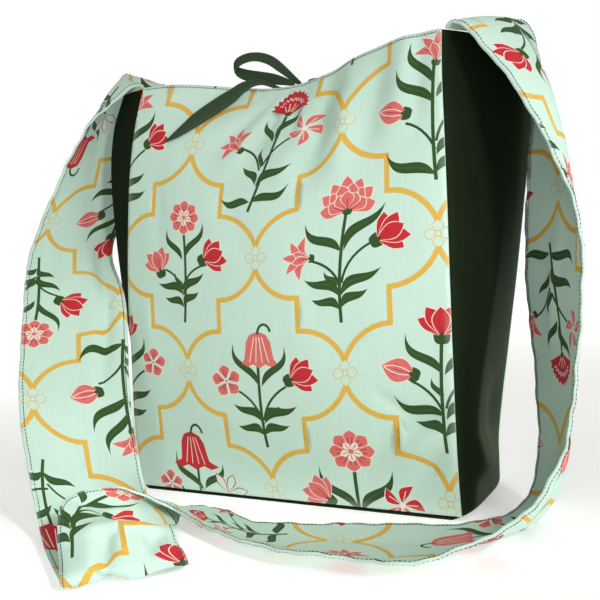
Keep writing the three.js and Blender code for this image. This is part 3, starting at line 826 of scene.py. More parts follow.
# %% Sprig tables
SPRIGS = {
    # stems: foot x, y, tip x, y, bow, width
    # leaves: foot x, y, tip x, y, width, bow
    # flowers: kind, x, y, heading in degrees, size, ink
    "drooping": dict(
        stems=[(1, -60, 0, 34, 0.02, 2.4), (-1, -37, -21, -13, -0.12, 1.9), (1, -37, 21, -9, 0.12, 1.9)],
        leaves=[(0, -50, -22, -43, 8, -0.16), (0, -50, 22, -41, 8, 0.16), (0, -40, -25, -25, 8, -0.14),
                (1, -40, 29, -25, 8.5, 0.12), (3, -32, 15, -25, 4.6, 0.06), (-1, -9, -22, 27, 6.6, 0.1),
                (1, -9, 21, 24, 6.6, -0.1)],
        flowers=[("drooping", 0, 22, 90, 27, CORAL), ("five_petal", -30, -6, 100, 14, CORAL),
                 ("tulip", 34, 0, 22, 26, RED)]),
    "lotus": dict(
        stems=[(-1, -58, 4, 24, 0.03, 2.4), (-1, -30, -22, -8, -0.12, 1.9), (0, -28, 22, -1, 0.14, 1.9)],
        leaves=[(-2, -48, -23, -38, 7.6, -0.12), (-1, -47, 19, -35, 8, 0.14),
                (-2, -38, -28, -22, 8.6, -0.12), (-1, -38, 29, -20, 8.6, 0.12),
                (-2, -30, -13, -17, 5, 0.05), (0, -4, -27, 22, 8, 0.1), (2, -4, 33, 27, 8.4, 0.08)],
        flowers=[("lotus", 5, 36, 90, 25, CORAL), ("lily", -34, -4, 172, 23, CORAL),
                 ("tulip", 36, 5, 26, 27, RED)]),
    "rosette": dict(
        stems=[(0, -56, 0, 22, -0.03, 2.3), (-1, -28, -18, -12, -0.12, 1.8), (0, -26, 18, -7, 0.12, 1.8)],
        leaves=[(0, -43, -19, -36, 7.2, -0.14), (0, -42, 15, -29, 7.2, 0.12),
                (0, -33, -26, -24, 7.8, -0.14), (0, -33, 20, -13, 7.8, 0.12),
                (-1, -28, -8, -14, 4.4, 0.05), (-1, -3, -17, 23, 6, 0.1), (1, -3, 18, 31, 6, -0.06)],
        flowers=[("rosette", 0, 33, 90, 15, CORAL), ("tulip", -27, -5, 112, 25, CORAL),
                 ("tulip", 29, 2, 24, 26, RED)]),
    "carnation": dict(
        stems=[(-8, -58, 8, 22, -0.05, 2.4), (-2, -24, -24, -3, -0.12, 1.8), (0, -20, 22, 2, 0.1, 1.8)],
        leaves=[(-7, -50, -34, -46, 7.8, 0.14), (-6, -50, 26, -38, 8, -0.12),
                (-4, -36, -18, -20, 6.8, -0.14), (-3, -38, 26, -22, 8.2, 0.12),
                (-1, -22, -4, -4, 4.8, 0.12), (4, 0, -10, 21, 6.2, 0.1), (5, 2, 25, 28, 6.4, 0.08)],
        flowers=[("carnation", 9, 35, 88, 23, RED), ("lily", -32, 2, 140, 22, CORAL),
                 ("pinwheel", 31, 6, 40, 15, CORAL)]),
    "budding": dict(
        stems=[(0, -58, 2, 34, 0.02, 2.4), (0, -36, -20, -14, -0.12, 1.9), (1, -30, 20, -4, 0.12, 1.9)],
        leaves=[(0, -54, -34, -34, 9.4, 0.12), (0, -53, 24, -40, 8, 0.12), (1, -40, 22, -24, 7.4, 0.1),
                (1, -2, -26, 28, 8.4, 0.12), (1, 12, -16, 46, 7.6, 0.12), (2, 2, 24, 30, 7.6, -0.1)],
        flowers=[("lily", 4, 40, 84, 24, CORAL), ("bud", -30, -4, 165, 24, CORAL),
                 ("tulip", 31, 6, 30, 24, RED)]),
    "iris": dict(
        stems=[(0, -60, 0, 24, 0.02, 2.4), (-1, -32, -22, -8, -0.1, 1.9), (1, -28, 20, -4, 0.12, 1.9)],
        leaves=[(0, -48, -22, -38, 7.8, -0.14), (0, -48, 20, -38, 7.8, 0.14),
                (0, -34, -34, -18, 8.4, 0.12), (1, -36, 26, -20, 8, 0.12), (-1, -22, -8, -6, 4.6, 0.05),
                (0, -4, -24, 27, 7.4, 0.12), (1, -4, 22, 26, 7, -0.1)],
        flowers=[("tulip", 0, 34, 90, 27, RED), ("bud", -30, 0, 160, 25, CORAL),
                 ("five_petal", 31, 4, 80, 13, CORAL)]),
    "bright": dict(
        stems=[(0, -50, 0, 24, 0.0, 2.6), (0, -24, -22, -8, -0.1, 1.7), (0, -28, 22, -10, -0.1, 1.7)],
        leaves=[(0, -12, -26, 24, 8, 0.12), (2, -12, 28, 22, 8.4, -0.06), (0, -38, -24, -30, 7, -0.12),
                (0, -38, 24, -30, 7, 0.12)],
        flowers=[("rosette", 0, 36, 90, 17, CORAL), ("tulip", -30, 2, 138, 26, CORAL),
                 ("pinwheel", 33, -4, 60, 17, RED)]),
    "fan": dict(
        stems=[(2, -46, 4, 36, 0.06, 2.2), (2, -22, -20, -6, 0.14, 1.8), (2, -26, 24, -10, 0.1, 1.6)],
        leaves=[(2, -8, -20, 26, 6.6, 0.16), (3, -6, 24, 18, 7, -0.1), (0, -36, -22, -28, 7, -0.12),
                (0, -36, 22, -26, 7, 0.12)],
        flowers=[("fan", -2, 28, 90, 30, RED), ("five_petal", -30, -4, 90, 12, CORAL),
                 ("wings", 24, -8, 10, 19, RED)]),
}
SPRIG_ROWS = [("bright", "fan"), ("iris", "drooping"), ("lotus", "rosette"), ("budding", "carnation")]
LEAF_CURL, LEAF_SLIM, LEAF_BOW, LEAF_FULL, LEAF_STEPS, LEAF_SHARP = 0.075, 0.95, 0.8, 0.42, 15, 1.2
VEIN_WIDE, VEIN_STEPS, VEIN_END = 0.45, 8, 0.78
SPRIG_STRETCH = (1.1, 1.0)


def sprig(name, x, y):
    table = SPRIGS[name]
    parts = [(bowed(*row), LEAF) for row in table["stems"]]
    for x0, y0, x1, y1, width, bow in table["leaves"]:
        bend = bow * LEAF_BOW
        curl = LEAF_CURL if x1 > x0 else -LEAF_CURL
        leaf = blade(x0, y0, x1, y1, width * LEAF_SLIM, bend, LEAF_FULL, LEAF_STEPS, curl, LEAF_SHARP)
        parts.append((leaf, LEAF))
        parts.append((bowed(x0, y0, x1, y1, bend, VEIN_WIDE, VEIN_STEPS, curl, VEIN_END), FINE))
    for kind, flower_x, flower_y, heading, size, colour in table["flowers"]:
        parts += FLOWERS[kind](flower_x, flower_y, heading, size, colour)
    return [(outline * SPRIG_STRETCH + (x, y), colour) for outline, colour in parts]


print("sprigs:", ", ".join(SPRIGS))

# %% [markdown]
# The trellis repeats every 148 mm across and every 96.4 mm up, with each row shifted by half a step. One
# drawn tile could be repeated, but the sprigs change from cell to cell, so every outline is placed by
# itself. One line runs from a crossing to the next one down: a curve, a short upright step and the same
# curve turned round. Outlines that lie wholly off the cloth are dropped.

# %% Trellis
CELL_WIDE, CELL_TALL = 148.0, 96.4
BLOSSOM, BLOSSOM_WIDE, BLOSSOM_LINE = 9.6, 8.6, 0.55
LINE_WIDE, LINE_FROM, LINE_TO, LINE_POINTS = 4.0, 22, 90, 8
CURVE_SHARE = 0.365


def trellis_line(side):
    turn = np.radians(np.linspace(LINE_FROM, LINE_TO, LINE_POINTS))
    first = math.radians(LINE_FROM)
    low = math.sin(first)
    x = CELL_WIDE / 4 * (1 - np.cos(turn) / math.cos(first))
    y = -BLOSSOM - (CURVE_SHARE * CELL_TALL - BLOSSOM) * (np.sin(turn) - low) / (1 - low)
    half = np.stack([side * x, y], 1)
    other = np.array([side * CELL_WIDE / 2, -CELL_TALL]) - half[::-1]
    return stroke(np.vstack([half, other]), LINE_WIDE)


def blossom():
    parts = []
    for k in range(4):
        parts += outlined(0, 0, 90 * k, BLOSSOM + 0.6, BLOSSOM_WIDE, TRELLIS, BLOSSOM_LINE)
    return parts + [(disc(0, 0, 2.6), TRELLIS), (disc(0, 0, 2.0), GROUND)]


def steps_over(low, high, start, pitch):
    return range(math.floor((low - start) / pitch) - 1, math.ceil((high - start) / pitch) + 2)


def print_motifs(low, high, crossing, first=0):
    motifs = []
    for row in steps_over(low[1], high[1], crossing[1], CELL_TALL):
        y = crossing[1] + CELL_TALL * row
        shift = CELL_WIDE / 2 * (row % 2)
        for column in steps_over(low[0], high[0], crossing[0], CELL_WIDE):
            x = crossing[0] + CELL_WIDE * column + shift
            parts = [(trellis_line(side), TRELLIS) for side in (-1, 1)] + blossom()
            motifs += [(outline + (x, y), colour) for outline, colour in parts]
            names = SPRIG_ROWS[(row + first) % len(SPRIG_ROWS)]
            motifs += sprig(names[column % len(names)], x + CELL_WIDE / 2, y)
    return [m for m in motifs if np.all(m[0].max(0) > low) and np.all(m[0].min(0) < high)]


print("crossings every", CELL_WIDE, "by", CELL_TALL, "mm")

# %% [markdown]
# Ink sinks into cotton and moves with it. The print could be an image on the cloth, but here its outlines
# are cut into the flat cloth itself, so every colour is a material of its own. A constrained
# triangulation takes all outlines and a grid of points, and returns small triangles that never cross an
# outline. The topmost outline that holds a triangle gives its colour.

# %% Inlaid cloth
WELD = 1e-3


def anticlockwise(outline):
    x, y = outline[:, 0], outline[:, 1]
    area = np.sum(x * np.roll(y, -1) - y * np.roll(x, -1))
    return outline if area > 0 else outline[::-1]


def inlay(zones, grid):
    points, faces, owner = [], [], []
    drawn = []
    for k, (low, high, _) in enumerate(zones):
        box = [(low[0], low[1]), (high[0], low[1]), (high[0], high[1]), (low[0], high[1])]
        drawn.append((k, np.array(box, float), GROUND))
    for k, (_, _, motifs) in enumerate(zones):
        drawn += [(k, anticlockwise(outline), colour) for outline, colour in motifs]
    for k, outline, colour in drawn:
        faces.append(list(range(len(points), len(points) + len(outline))))
        points += outline.tolist()
        owner.append((k, colour))
    points += grid.tolist()
    flat, _, triangles, _, _, inside = delaunay_2d_cdt([Vector(p) for p in points], [], faces, 0, WELD)
    kept, colours = [], []
    for triangle, owners in zip(triangles, inside):
        zone = [k for k in owners if k < len(zones)]
        if zone:
            kept.append(triangle)
            colours.append(owner[max(k for k in owners if owner[k][0] == zone[0])][1])
    used, numbers = np.unique(np.array(kept), return_inverse=True)
    return np.array([tuple(p) for p in flat])[used], numbers.reshape(-1, 3), np.array(colours)


sample = [((0, 0), (10, 10), [(disc(5, 5, 3), TRELLIS)])]
print("sample inlay of", len(inlay(sample, np.zeros((0, 2)))[1]), "triangles")

# %% [markdown]
# Real cloth has two sides and a cut edge. A Solidify modifier could thicken a sheet, but here the inside
# needs its own colours, and the wall must come out with the size of the plain one. So each point is moved
# half the thickness out and half in, and a rim joins the two sides. Two values are stored at each point:
# its place on the flat cloth, for the weave, and how near it is to the edge, for the wear.

# %% Cloth walls
MM = 0.001


def grid_points(x_steps, y_steps):
    x, y = np.meshgrid(x_steps, y_steps)
    return np.stack([x.ravel(), y.ravel()], 1)


def grid_triangles(rows, columns):
    i, j = np.meshgrid(np.arange(rows - 1), np.arange(columns - 1), indexing="ij")
    a = (i * columns + j).ravel()
    b, c, d = a + 1, a + columns + 1, a + columns
    return np.vstack([np.stack([a, b, c], 1), np.stack([a, c, d], 1)])


def link_mesh(name, points, faces, slots, materials, flat, edge):
    mesh = bpy.data.meshes.new(name)
    mesh.from_pydata((np.asarray(points) * MM).tolist(), [], faces)
    for material in materials:
        mesh.materials.append(material)
    mesh.polygons.foreach_set("material_index", np.asarray(slots, np.int32))
    mesh.polygons.foreach_set("use_smooth", np.ones(len(faces), bool))
    place = np.column_stack([flat * MM, np.zeros(len(flat))]).astype(np.float32)
    cloth = mesh.attributes.new("cloth", "FLOAT_VECTOR", "POINT")
    cloth.data.foreach_set("vector", place.ravel())
    hem = mesh.attributes.new("hem", "FLOAT", "POINT")
    hem.data.foreach_set("value", np.asarray(edge, np.float32))
    mesh.update()
    piece = bpy.data.objects.new(name, mesh)
    bpy.context.collection.objects.link(piece)
    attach(piece, "root")
    return piece


def rim_edges(triangles):
    edges = np.vstack([triangles[:, [0, 1]], triangles[:, [1, 2]], triangles[:, [2, 0]]])
    _, back, times = np.unique(np.sort(edges, axis=1), axis=0, return_inverse=True, return_counts=True)
    return edges[times[back.ravel()] == 1]


def cloth_wall(
    name, points, normals, flat, triangles, slots, materials, thickness, inside_slot=None, hem_reach=7.0,
):
    count = len(points)
    thick = np.broadcast_to(thickness, count)[:, None]
    rim = rim_edges(triangles)
    rim_faces = np.column_stack([rim[:, 1], rim[:, 0], rim[:, 0] + count, rim[:, 1] + count])
    faces = triangles.tolist() + (triangles[:, ::-1] + count).tolist() + rim_faces.tolist()
    inner = slots if inside_slot is None else np.full(len(slots), inside_slot)
    all_slots = np.concatenate([slots, inner, np.zeros(len(rim), int)])
    border = np.minimum(flat - flat.min(0), flat.max(0) - flat).min(1)
    edge = np.tile(smooth(1 - border / hem_reach), 2)
    both = np.vstack([points + normals * thick / 2, points - normals * thick / 2])
    piece = link_mesh(name, both, faces, all_slots, materials, np.vstack([flat, flat]), edge)
    print(name, "triangles", 2 * len(triangles) + 2 * len(rim))
    return piece


print("rim of a plain square:", len(rim_edges(grid_triangles(2, 2))), "edges")

# %% [markdown]
# The look of cotton is built from node groups, which work like functions with named sockets. Nodes could
# be placed by hand in the shader editor, but a few helpers keep each group short: one makes the group,
# one joins sockets, and the others add a sum, a blend of colours or a noise.


# %% Node helpers
def new_group(name, inputs, outputs):
    group = bpy.data.node_groups.new(name, "ShaderNodeTree")
    for socket, kind, value in inputs:
        made = group.interface.new_socket(socket, in_out="INPUT", socket_type=kind)
        made.default_value = value
    for socket, kind in outputs:
        group.interface.new_socket(socket, in_out="OUTPUT", socket_type=kind)
    return group, group.nodes.new("NodeGroupInput"), group.nodes.new("NodeGroupOutput")


def join(tree, pairs):
    for source, target in pairs:
        tree.links.new(source, target)


def math_node(tree, operation, first, second=None, third=None):
    node = tree.nodes.new("ShaderNodeMath")
    node.operation = operation
    for socket, value in zip(node.inputs, (first, second, third)):
        if value is None:
            continue
        if isinstance(value, (int, float)):
            socket.default_value = value
        else:
            tree.links.new(value, socket)
    return node.outputs[0]


def mix_colour(tree, factor, first, second):
    node = tree.nodes.new("ShaderNodeMix")
    node.data_type = "RGBA"
    for number, value in ((MIX_FACTOR, factor), (MIX_FIRST, first), (MIX_SECOND, second)):
        tree.links.new(value, node.inputs[number])
    return node.outputs[MIX_RESULT]


def noise_at(tree, vector, scale, detail=2.0, stretch=None):
    if stretch:
        mapping = tree.nodes.new("ShaderNodeMapping")
        mapping.inputs["Scale"].default_value = stretch
        tree.links.new(vector, mapping.inputs["Vector"])
        vector = mapping.outputs[0]
    noise = tree.nodes.new("ShaderNodeTexNoise")
    noise.inputs["Scale"].default_value = scale
    noise.inputs["Detail"].default_value = detail
    tree.links.new(vector, noise.inputs["Vector"])
    return noise.outputs[0]


print("node groups before the first one:", len(bpy.data.node_groups))

# %% [markdown]
# Plain woven cotton shows small over and under bumps and uneven threads, called slubs. A tiled picture of
# cloth could show them, but two crossed sine waves and two stretched noises do it without an image. They
# read the flat place stored in each piece, so the threads follow the cut of the cloth round every fold.

# %% Weave
GREY = (0.5, 0.5, 0.5, 1)
ALONG_WARP, ALONG_WEFT = (900.0, 30.0, 1.0), (30.0, 900.0, 1.0)
THREAD_TONE, THREAD_HEIGHT = 0.05, 0.5
weave, weave_in, weave_out = new_group(
    "cotton_weave",
    [
        ("Colour", "NodeSocketColor", GREY),
        ("Threads per metre", "NodeSocketFloat", 1900.0),
        ("Slub", "NodeSocketFloat", 0.1),
    ],
    [("Colour", "NodeSocketColor"), ("Height", "NodeSocketFloat")],
)
place = weave.nodes.new("ShaderNodeAttribute")
place.attribute_name = "cloth"
axes = weave.nodes.new("ShaderNodeSeparateXYZ")
join(weave, [(place.outputs["Vector"], axes.inputs[0])])
per_metre = math_node(weave, "MULTIPLY", weave_in.outputs["Threads per metre"], math.pi)
warp = math_node(weave, "SINE", math_node(weave, "MULTIPLY", axes.outputs[0], per_metre))
weft = math_node(weave, "SINE", math_node(weave, "MULTIPLY", axes.outputs[1], per_metre))
over = math_node(weave, "MULTIPLY", warp, weft)
slub_up = noise_at(weave, place.outputs["Vector"], 1.0, 2.0, ALONG_WARP)
slub_across = noise_at(weave, place.outputs["Vector"], 1.0, 2.0, ALONG_WEFT)
slub = math_node(weave, "SUBTRACT", math_node(weave, "ADD", slub_up, slub_across), 1.0)
thread_tone = math_node(weave, "MULTIPLY", over, THREAD_TONE)
slub_tone = math_node(weave, "MULTIPLY", slub, weave_in.outputs["Slub"])
tone = math_node(weave, "ADD", thread_tone, slub_tone)
thread_height = math_node(weave, "MULTIPLY", over, THREAD_HEIGHT)
bright = weave.nodes.new("ShaderNodeHueSaturation")
join(weave, [
    (weave_in.outputs["Colour"], bright.inputs["Color"]),
    (math_node(weave, "ADD", tone, 1.0), bright.inputs["Value"]),
    (bright.outputs[0], weave_out.inputs["Colour"]),
    (math_node(weave, "ADD", thread_height, slub), weave_out.inputs["Height"]),
])
print("weave nodes:", len(weave.nodes))

# %% [markdown]
# No washed cloth has one even colour. Paint could be brushed on by hand, but a slow noise that leads the
# colour towards a second tint gives the same soft patches on every piece. It changes the roughness as
# well.

# %% Tone drift
PATCH_SCALE = 14.0
ROUGH_RANGE, ROUGH_LEAST = 0.12, 0.78
drift, drift_in, drift_out = new_group(
    "tone_drift",
    [
        ("Colour", "NodeSocketColor", GREY),
        ("Amount", "NodeSocketFloat", 0.1),
        ("Tint", "NodeSocketColor", (0.6, 0.7, 0.6, 1)),
    ],
    [("Colour", "NodeSocketColor"), ("Roughness", "NodeSocketFloat")],
)
drift_place = drift.nodes.new("ShaderNodeTexCoord")
patches = noise_at(drift, drift_place.outputs["Object"], PATCH_SCALE, 3.0)
share = math_node(drift, "MULTIPLY", patches, drift_in.outputs["Amount"])
tinted = mix_colour(drift, share, drift_in.outputs["Colour"], drift_in.outputs["Tint"])
join(drift, [
    (tinted, drift_out.inputs["Colour"]),
    (math_node(drift, "MULTIPLY_ADD", patches, ROUGH_RANGE, ROUGH_LEAST), drift_out.inputs["Roughness"]),
])
print("drift nodes:", len(drift.nodes))

# %% [markdown]
# A hem is rubbed first, so its colour turns paler in small spots. The spots could come from a mask image.
# Here the stored nearness to the edge is multiplied by a fine noise, so the wear is strongest at the very
# edge.

# %% Hem wear
SPOT_SCALE = 90.0
hem, hem_in, hem_out = new_group(
    "hem_wear",
    [
        ("Colour", "NodeSocketColor", GREY),
        ("Worn", "NodeSocketColor", (0.8, 0.8, 0.8, 1)),
        ("Amount", "NodeSocketFloat", 0.3),
    ],
    [("Colour", "NodeSocketColor")],
)
edge_value = hem.nodes.new("ShaderNodeAttribute")
edge_value.attribute_name = "hem"
hem_place = hem.nodes.new("ShaderNodeTexCoord")
spots = noise_at(hem, hem_place.outputs["Object"], SPOT_SCALE, 3.0)
spotted = math_node(hem, "MULTIPLY", edge_value.outputs["Fac"], spots)
worn = math_node(hem, "MULTIPLY", spotted, hem_in.outputs["Amount"])
rubbed = mix_colour(hem, worn, hem_in.outputs["Colour"], hem_in.outputs["Worn"])
join(hem, [(rubbed, hem_out.inputs["Colour"])])
print("node groups:", [g.name for g in bpy.data.node_groups])

# %% [markdown]
# Every cloth of the bag is cotton: printed, plain or twisted into thread. Each could have its own tree of
# nodes, but one function can make them all: drift, then weave, then hem wear, and a little sheen from the
# loose fibres. Printed areas are the same cloth in other colours, because printing ink sinks into cotton.


# %% Cottons
def linear_share(value):
    share = value / 255
    return ((share + 0.055) / 1.055) ** 2.4 if value > 10 else share / 12.92


def linear(red, green, blue):
    return tuple(linear_share(value) for value in (red, green, blue)) + (1.0,)


def cotton(
    name, colour, tint, worn,
    threads=1900.0, slub=0.1, amount=0.16, wear=0.3, sheen=0.04, bump=0.00012, gloss=0.15,
):
    material = bpy.data.materials.new(name)
    material.use_nodes = True
    tree = material.node_tree
    cloth = tree.nodes["Principled BSDF"]
    groups = []
    for group in (drift, weave, hem):
        node = tree.nodes.new("ShaderNodeGroup")
        node.node_tree = group
        groups.append(node)
    toned, woven, edged = groups
    toned.inputs["Colour"].default_value = linear(*colour)
    toned.inputs["Tint"].default_value = linear(*tint)
    toned.inputs["Amount"].default_value = amount
    woven.inputs["Threads per metre"].default_value = threads
    woven.inputs["Slub"].default_value = slub
    edged.inputs["Worn"].default_value = linear(*worn)
    edged.inputs["Amount"].default_value = wear
    relief = tree.nodes.new("ShaderNodeBump")
    relief.inputs["Strength"].default_value = 0.5
    relief.inputs["Distance"].default_value = bump
    cloth.inputs["Sheen Weight"].default_value = sheen
    cloth.inputs["Sheen Roughness"].default_value = 0.5
    cloth.inputs["Specular IOR Level"].default_value = gloss
    join(tree, [
        (toned.outputs["Colour"], woven.inputs["Colour"]),
        (woven.outputs["Colour"], edged.inputs["Colour"]),
        (edged.outputs["Colour"], cloth.inputs["Base Color"]),
        (toned.outputs["Roughness"], cloth.inputs["Roughness"]),
        (woven.outputs["Height"], relief.inputs["Height"]),
        (relief.outputs[0], cloth.inputs["Normal"]),
    ])
    return material


print("mid grey as linear light:", round(linear_share(128), 3))

# %% [markdown]
# Each cloth and ink has a colour and a second tint for its drift. They could be given as linear light,
# which is what the shader needs, but ordinary red, green and blue from 0 to 255 are easier to compare
# with a picture. The wrong side of the panels is unprinted, the gusset is a coarser and darker cloth with
# little gloss, and sewing thread has the finest twist.

# %% Colours
WORN_MINT = (226, 238, 228)
INKS = [
    # name, colour, drift tint
    ["mint_ground", (199, 226, 211), (184, 214, 200)],
    ["trellis_yellow", (222, 178, 78), (206, 160, 70)],
    ["leaf_green", (54, 82, 41), (42, 66, 33)],
    ["petal_coral", (219, 112, 106), (204, 98, 92)],
    ["petal_red", (196, 46, 54), (178, 38, 46)],
    ["petal_pale", (236, 226, 212), (228, 208, 194)],
    ["leaf_vein", (74, 102, 54), (60, 86, 44)],
    ["petal_deep", (168, 42, 50), (150, 34, 42)],
]
PRINT = [cotton(name, colour, tint, WORN_MINT) for name, colour, tint in INKS]
PRINT_BACK = cotton("mint_wrong_side", (205, 222, 212), (192, 212, 201), WORN_MINT)
GREEN = cotton(
    "gusset_green", (20, 29, 16), (30, 40, 23), (48, 60, 38),
    threads=1700.0, slub=0.25, amount=0.6, wear=0.4, sheen=0.01, gloss=0.03,
)
TIE_GREEN = cotton(
    "tie_green", (52, 70, 50), (60, 78, 56), (74, 88, 64),
    threads=2100.0, slub=0.2, amount=0.5, wear=0.4, sheen=0.03, gloss=0.1,
)
TWIST = dict(threads=3000.0, slub=0.2, amount=0.3, wear=0.0, sheen=0.03)
THREAD = cotton("thread_green", (36, 52, 38), (46, 62, 46), (70, 86, 66), **TWIST)
TIE_THREAD = cotton("tie_thread", (84, 102, 78), (96, 114, 90), (110, 126, 100), **TWIST)
print("cottons:", len(PRINT) + 5)

# %% [markdown]
# The front and back panels come first. The back could be a mirrored copy of the front, but a real back is
# cut from the next length of the roll. So it is the same cloth with the trellis shifted and the sprigs in
# another order, and it has its own fall.

# %% Panels
PANEL_LOW = (PANEL_LEFT, PANEL_FOOT)
PANEL_HIGH = (PANEL_LEFT + PANEL_WIDE, PANEL_FOOT + PANEL_TALL)
PANEL_COLUMNS, PANEL_ROWS = 83, 97
FRONT_CROSSING, BACK_CROSSING = (-15.0, 11.5), (24.0, 60.0)
panel_grid = grid_points(
    np.linspace(PANEL_LOW[0], PANEL_HIGH[0], PANEL_COLUMNS),
    np.linspace(PANEL_LOW[1], PANEL_HIGH[1], PANEL_ROWS),
)


def panel(name, surface, crossing, first):
    zones = [(PANEL_LOW, PANEL_HIGH, print_motifs(PANEL_LOW, PANEL_HIGH, crossing, first))]
    flat, triangles, colours = inlay(zones, panel_grid)
    points, normals = surface(flat), surface_normals(surface, flat)
    cloths = PRINT + [PRINT_BACK]
    piece = cloth_wall(name, points, normals, flat, triangles, colours, cloths, PANEL_WALL, len(PRINT))
    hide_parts(name)
    return piece


front_panel = panel("front_panel", front_surface, FRONT_CROSSING, 0)
back_panel = panel("back_panel", back_surface, BACK_CROSSING, 1)

# %% [markdown]
# The strap is a double layer of the same print. It could be one length of the roll, but its flowers then
# would stand on their heads on one side of the bag. So two halves are joined in the middle, where the
# strap folds on the floor, and the second half is the print turned upside down. The grid is finer where
# the strap bends most.

# %% Strap
STRAP_JOIN = 703.0
STRAP_HEM = 4.0
STRAP_COLUMNS = 19
STRAP_STRETCHES = [
    # from, to, step
    (0, 60, 2.5), (60, 430, 5.0), (430, 740, 2.5), (740, STRAP_LONG, 5.0),
]
FIRST_CROSSING, SECOND_CROSSING = (-34.0, 174.0), (-10.0, -888.0)
HALF = STRAP_WIDE / 2
first_low, first_high = (-HALF, 0.0), (HALF, STRAP_JOIN)
second_low, second_high = (-HALF, STRAP_JOIN), (HALF, STRAP_LONG)
first_motifs = print_motifs(first_low, first_high, FIRST_CROSSING, 1)
turned = print_motifs((-HALF, -STRAP_LONG), (HALF, -STRAP_JOIN), SECOND_CROSSING, 2)
second_motifs = [(-outline, colour) for outline, colour in turned]
strap_steps = np.concatenate([np.arange(*stretch) for stretch in STRAP_STRETCHES] + [[STRAP_LONG]])
strap_zones = [(first_low, first_high, first_motifs), (second_low, second_high, second_motifs)]
strap_flat, strap_triangles, strap_colours = inlay(
    strap_zones, grid_points(np.linspace(-HALF, HALF, STRAP_COLUMNS), strap_steps)
)
strap = cloth_wall(
    "strap", strap_surface(strap_flat), surface_normals(strap_surface, strap_flat), strap_flat,
    strap_triangles, strap_colours, PRINT, STRAP_WALL, hem_reach=STRAP_HEM,
)
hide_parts("strap")

# %% [markdown]
# The gusset is plain dark green cloth. It has no print, so its grid can become triangles without any
# outlines. The back lamp is there for this cloth alone. It could be shaded with a flag in a real studio.
# Here light linking gives it one receiver, so it can't bleach the back panel.

# %% Gusset
GUSSET_CLOTH_WIDE = 98
gusset_rows = len(GUSSET_GRID)
gusset_run = path_length(GUSSET_GRID[:, GUSSET_COLUMNS // 2])
gusset_across = np.linspace(0, GUSSET_CLOTH_WIDE, GUSSET_COLUMNS)
gusset_triangles = grid_triangles(gusset_rows, GUSSET_COLUMNS)
gusset = cloth_wall(
    "gusset", GUSSET_GRID.reshape(-1, 3), grid_normals(GUSSET_GRID), grid_points(gusset_across, gusset_run),
    gusset_triangles, np.zeros(len(gusset_triangles), int), [GREEN], GUSSET_WALL,
)
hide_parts("gusset")
lit_cloth = bpy.data.collections.new("lit_by_back_lamp")
lit_cloth.objects.link(gusset)
lamps["back_lamp"].light_linking.receiver_collection = lit_cloth

# %% [markdown]
# The bow is a narrow band of green cloth, folded and sewn. It could be a curve with a bevel, but a band
# turns as it goes and narrows into the knot. So each loop and tail is a row of places, with half the
# width as an arrow. The folded band is a little fuller in its middle than at its sewn edges.

# %% Tie bands
TIE_ROWS = {
    # x, y, z, half width x, y, z
    "tie_loop_left": [
        [-8.5, 45.5, 337.4, 0.5, 0.9, 1.6], [-18, 47, 345.6, 1.8, 1, 1.8],
        [-28.7, 48, 355.1, 2.4, 1.6, 2.6], [-38.5, 48.5, 362.9, 2, 2.4, 3.2],
        [-50.3, 48.2, 367.9, 0.8, 3.2, 3.9], [-62.5, 47.6, 368.8, -0.8, 3.2, 4.6],
        [-71.8, 46.6, 365.6, -2, 3, 4.7], [-72.3, 45.2, 359.6, -1.8, 2.8, 4.8],
        [-62.6, 45.4, 354, 0, 2, 5], [-48.4, 45.6, 349.7, 0.6, 1.6, 5], [-33, 45, 345.4, 0.7, 1.2, 4.4],
        [-11.8, 41, 338, 0.4, 0.9, 1.7],
    ],
    "tie_loop_right": [
        [2.9, 41, 331.4, 0, 0.9, 2.4], [14, 41, 332.6, 0, 1.4, 4.4], [28, 42, 331, 0, 1.6, 5],
        [40, 44, 325.5, 1.2, 1.8, 5], [44.5, 46.2, 320, 2.2, 1.8, 4.6], [38.5, 48, 318, 1.2, 1.8, 5],
        [26, 46.6, 321.5, -0.8, 1.6, 5], [13.5, 44.4, 325.6, -0.8, 1.2, 3.6],
        [2.9, 42.6, 326.6, 0, 0.5, 1.2],
    ],
    "tie_tail_front": [
        [-18.6, 41.5, 333.6, -0.4, 0.6, 1.3], [-25.5, 41.2, 335, -0.8, 1.4, 1.9],
        [-33.5, 39, 339.2, -1.4, 1.6, 1.8], [-42, 33.2, 342.8, -2.2, 2.4, 2.7],
        [-53.4, 27.7, 340.9, -2.8, 0.7, 3.6], [-62, 20.7, 333.8, -3.8, 0.8, 4.7],
        [-69.8, 14.6, 328.2, -4.3, 1, 5.3], [-85.9, 2.6, 316.9, -4.1, 1, 5],
        [-94.8, -3, 310.5, -3.2, 0.9, 4], [-103.6, -7.9, 304.2, -2.2, 0.6, 2.7],
        [-113.9, -11.6, 298.6, -0.5, 0.1, 0.5],
    ],
    "tie_tail_back": [
        [1.2, 44.6, 334.8, 1.6, 0.4, 0.2], [2, 48.6, 339.2, 4.2, 1, 0.2],
        [3.5, 55.2, 339.4, 5.4, 1.8, 0.2], [5.5, 56.1, 330, 5.8, 1.5, 0.6], [8, 56.5, 322, 5.8, 1.5, 1],
        [11.5, 58.6, 308, 5.8, 1.3, 1.4], [15, 61.4, 294, 5.8, 1.2, 1.6],
        [18, 63.8, 281, 1.2, 0.2, 0.4],
    ],
}
PLACE, ARROW = slice(0, 3), slice(3, 6)
TIE_STEPS, TIE_COLUMNS = 12, 9
TIE_SWELL, TIE_HALF, TIE_HEM = 0.16, 6.0, 2.0
TIE_WALL, TIE_THINNING, TIE_THIN_POWER = 1.5, 0.45, 6
SEAM_RISE = 0.7
SEAM_STRETCH = slice(6, -6)


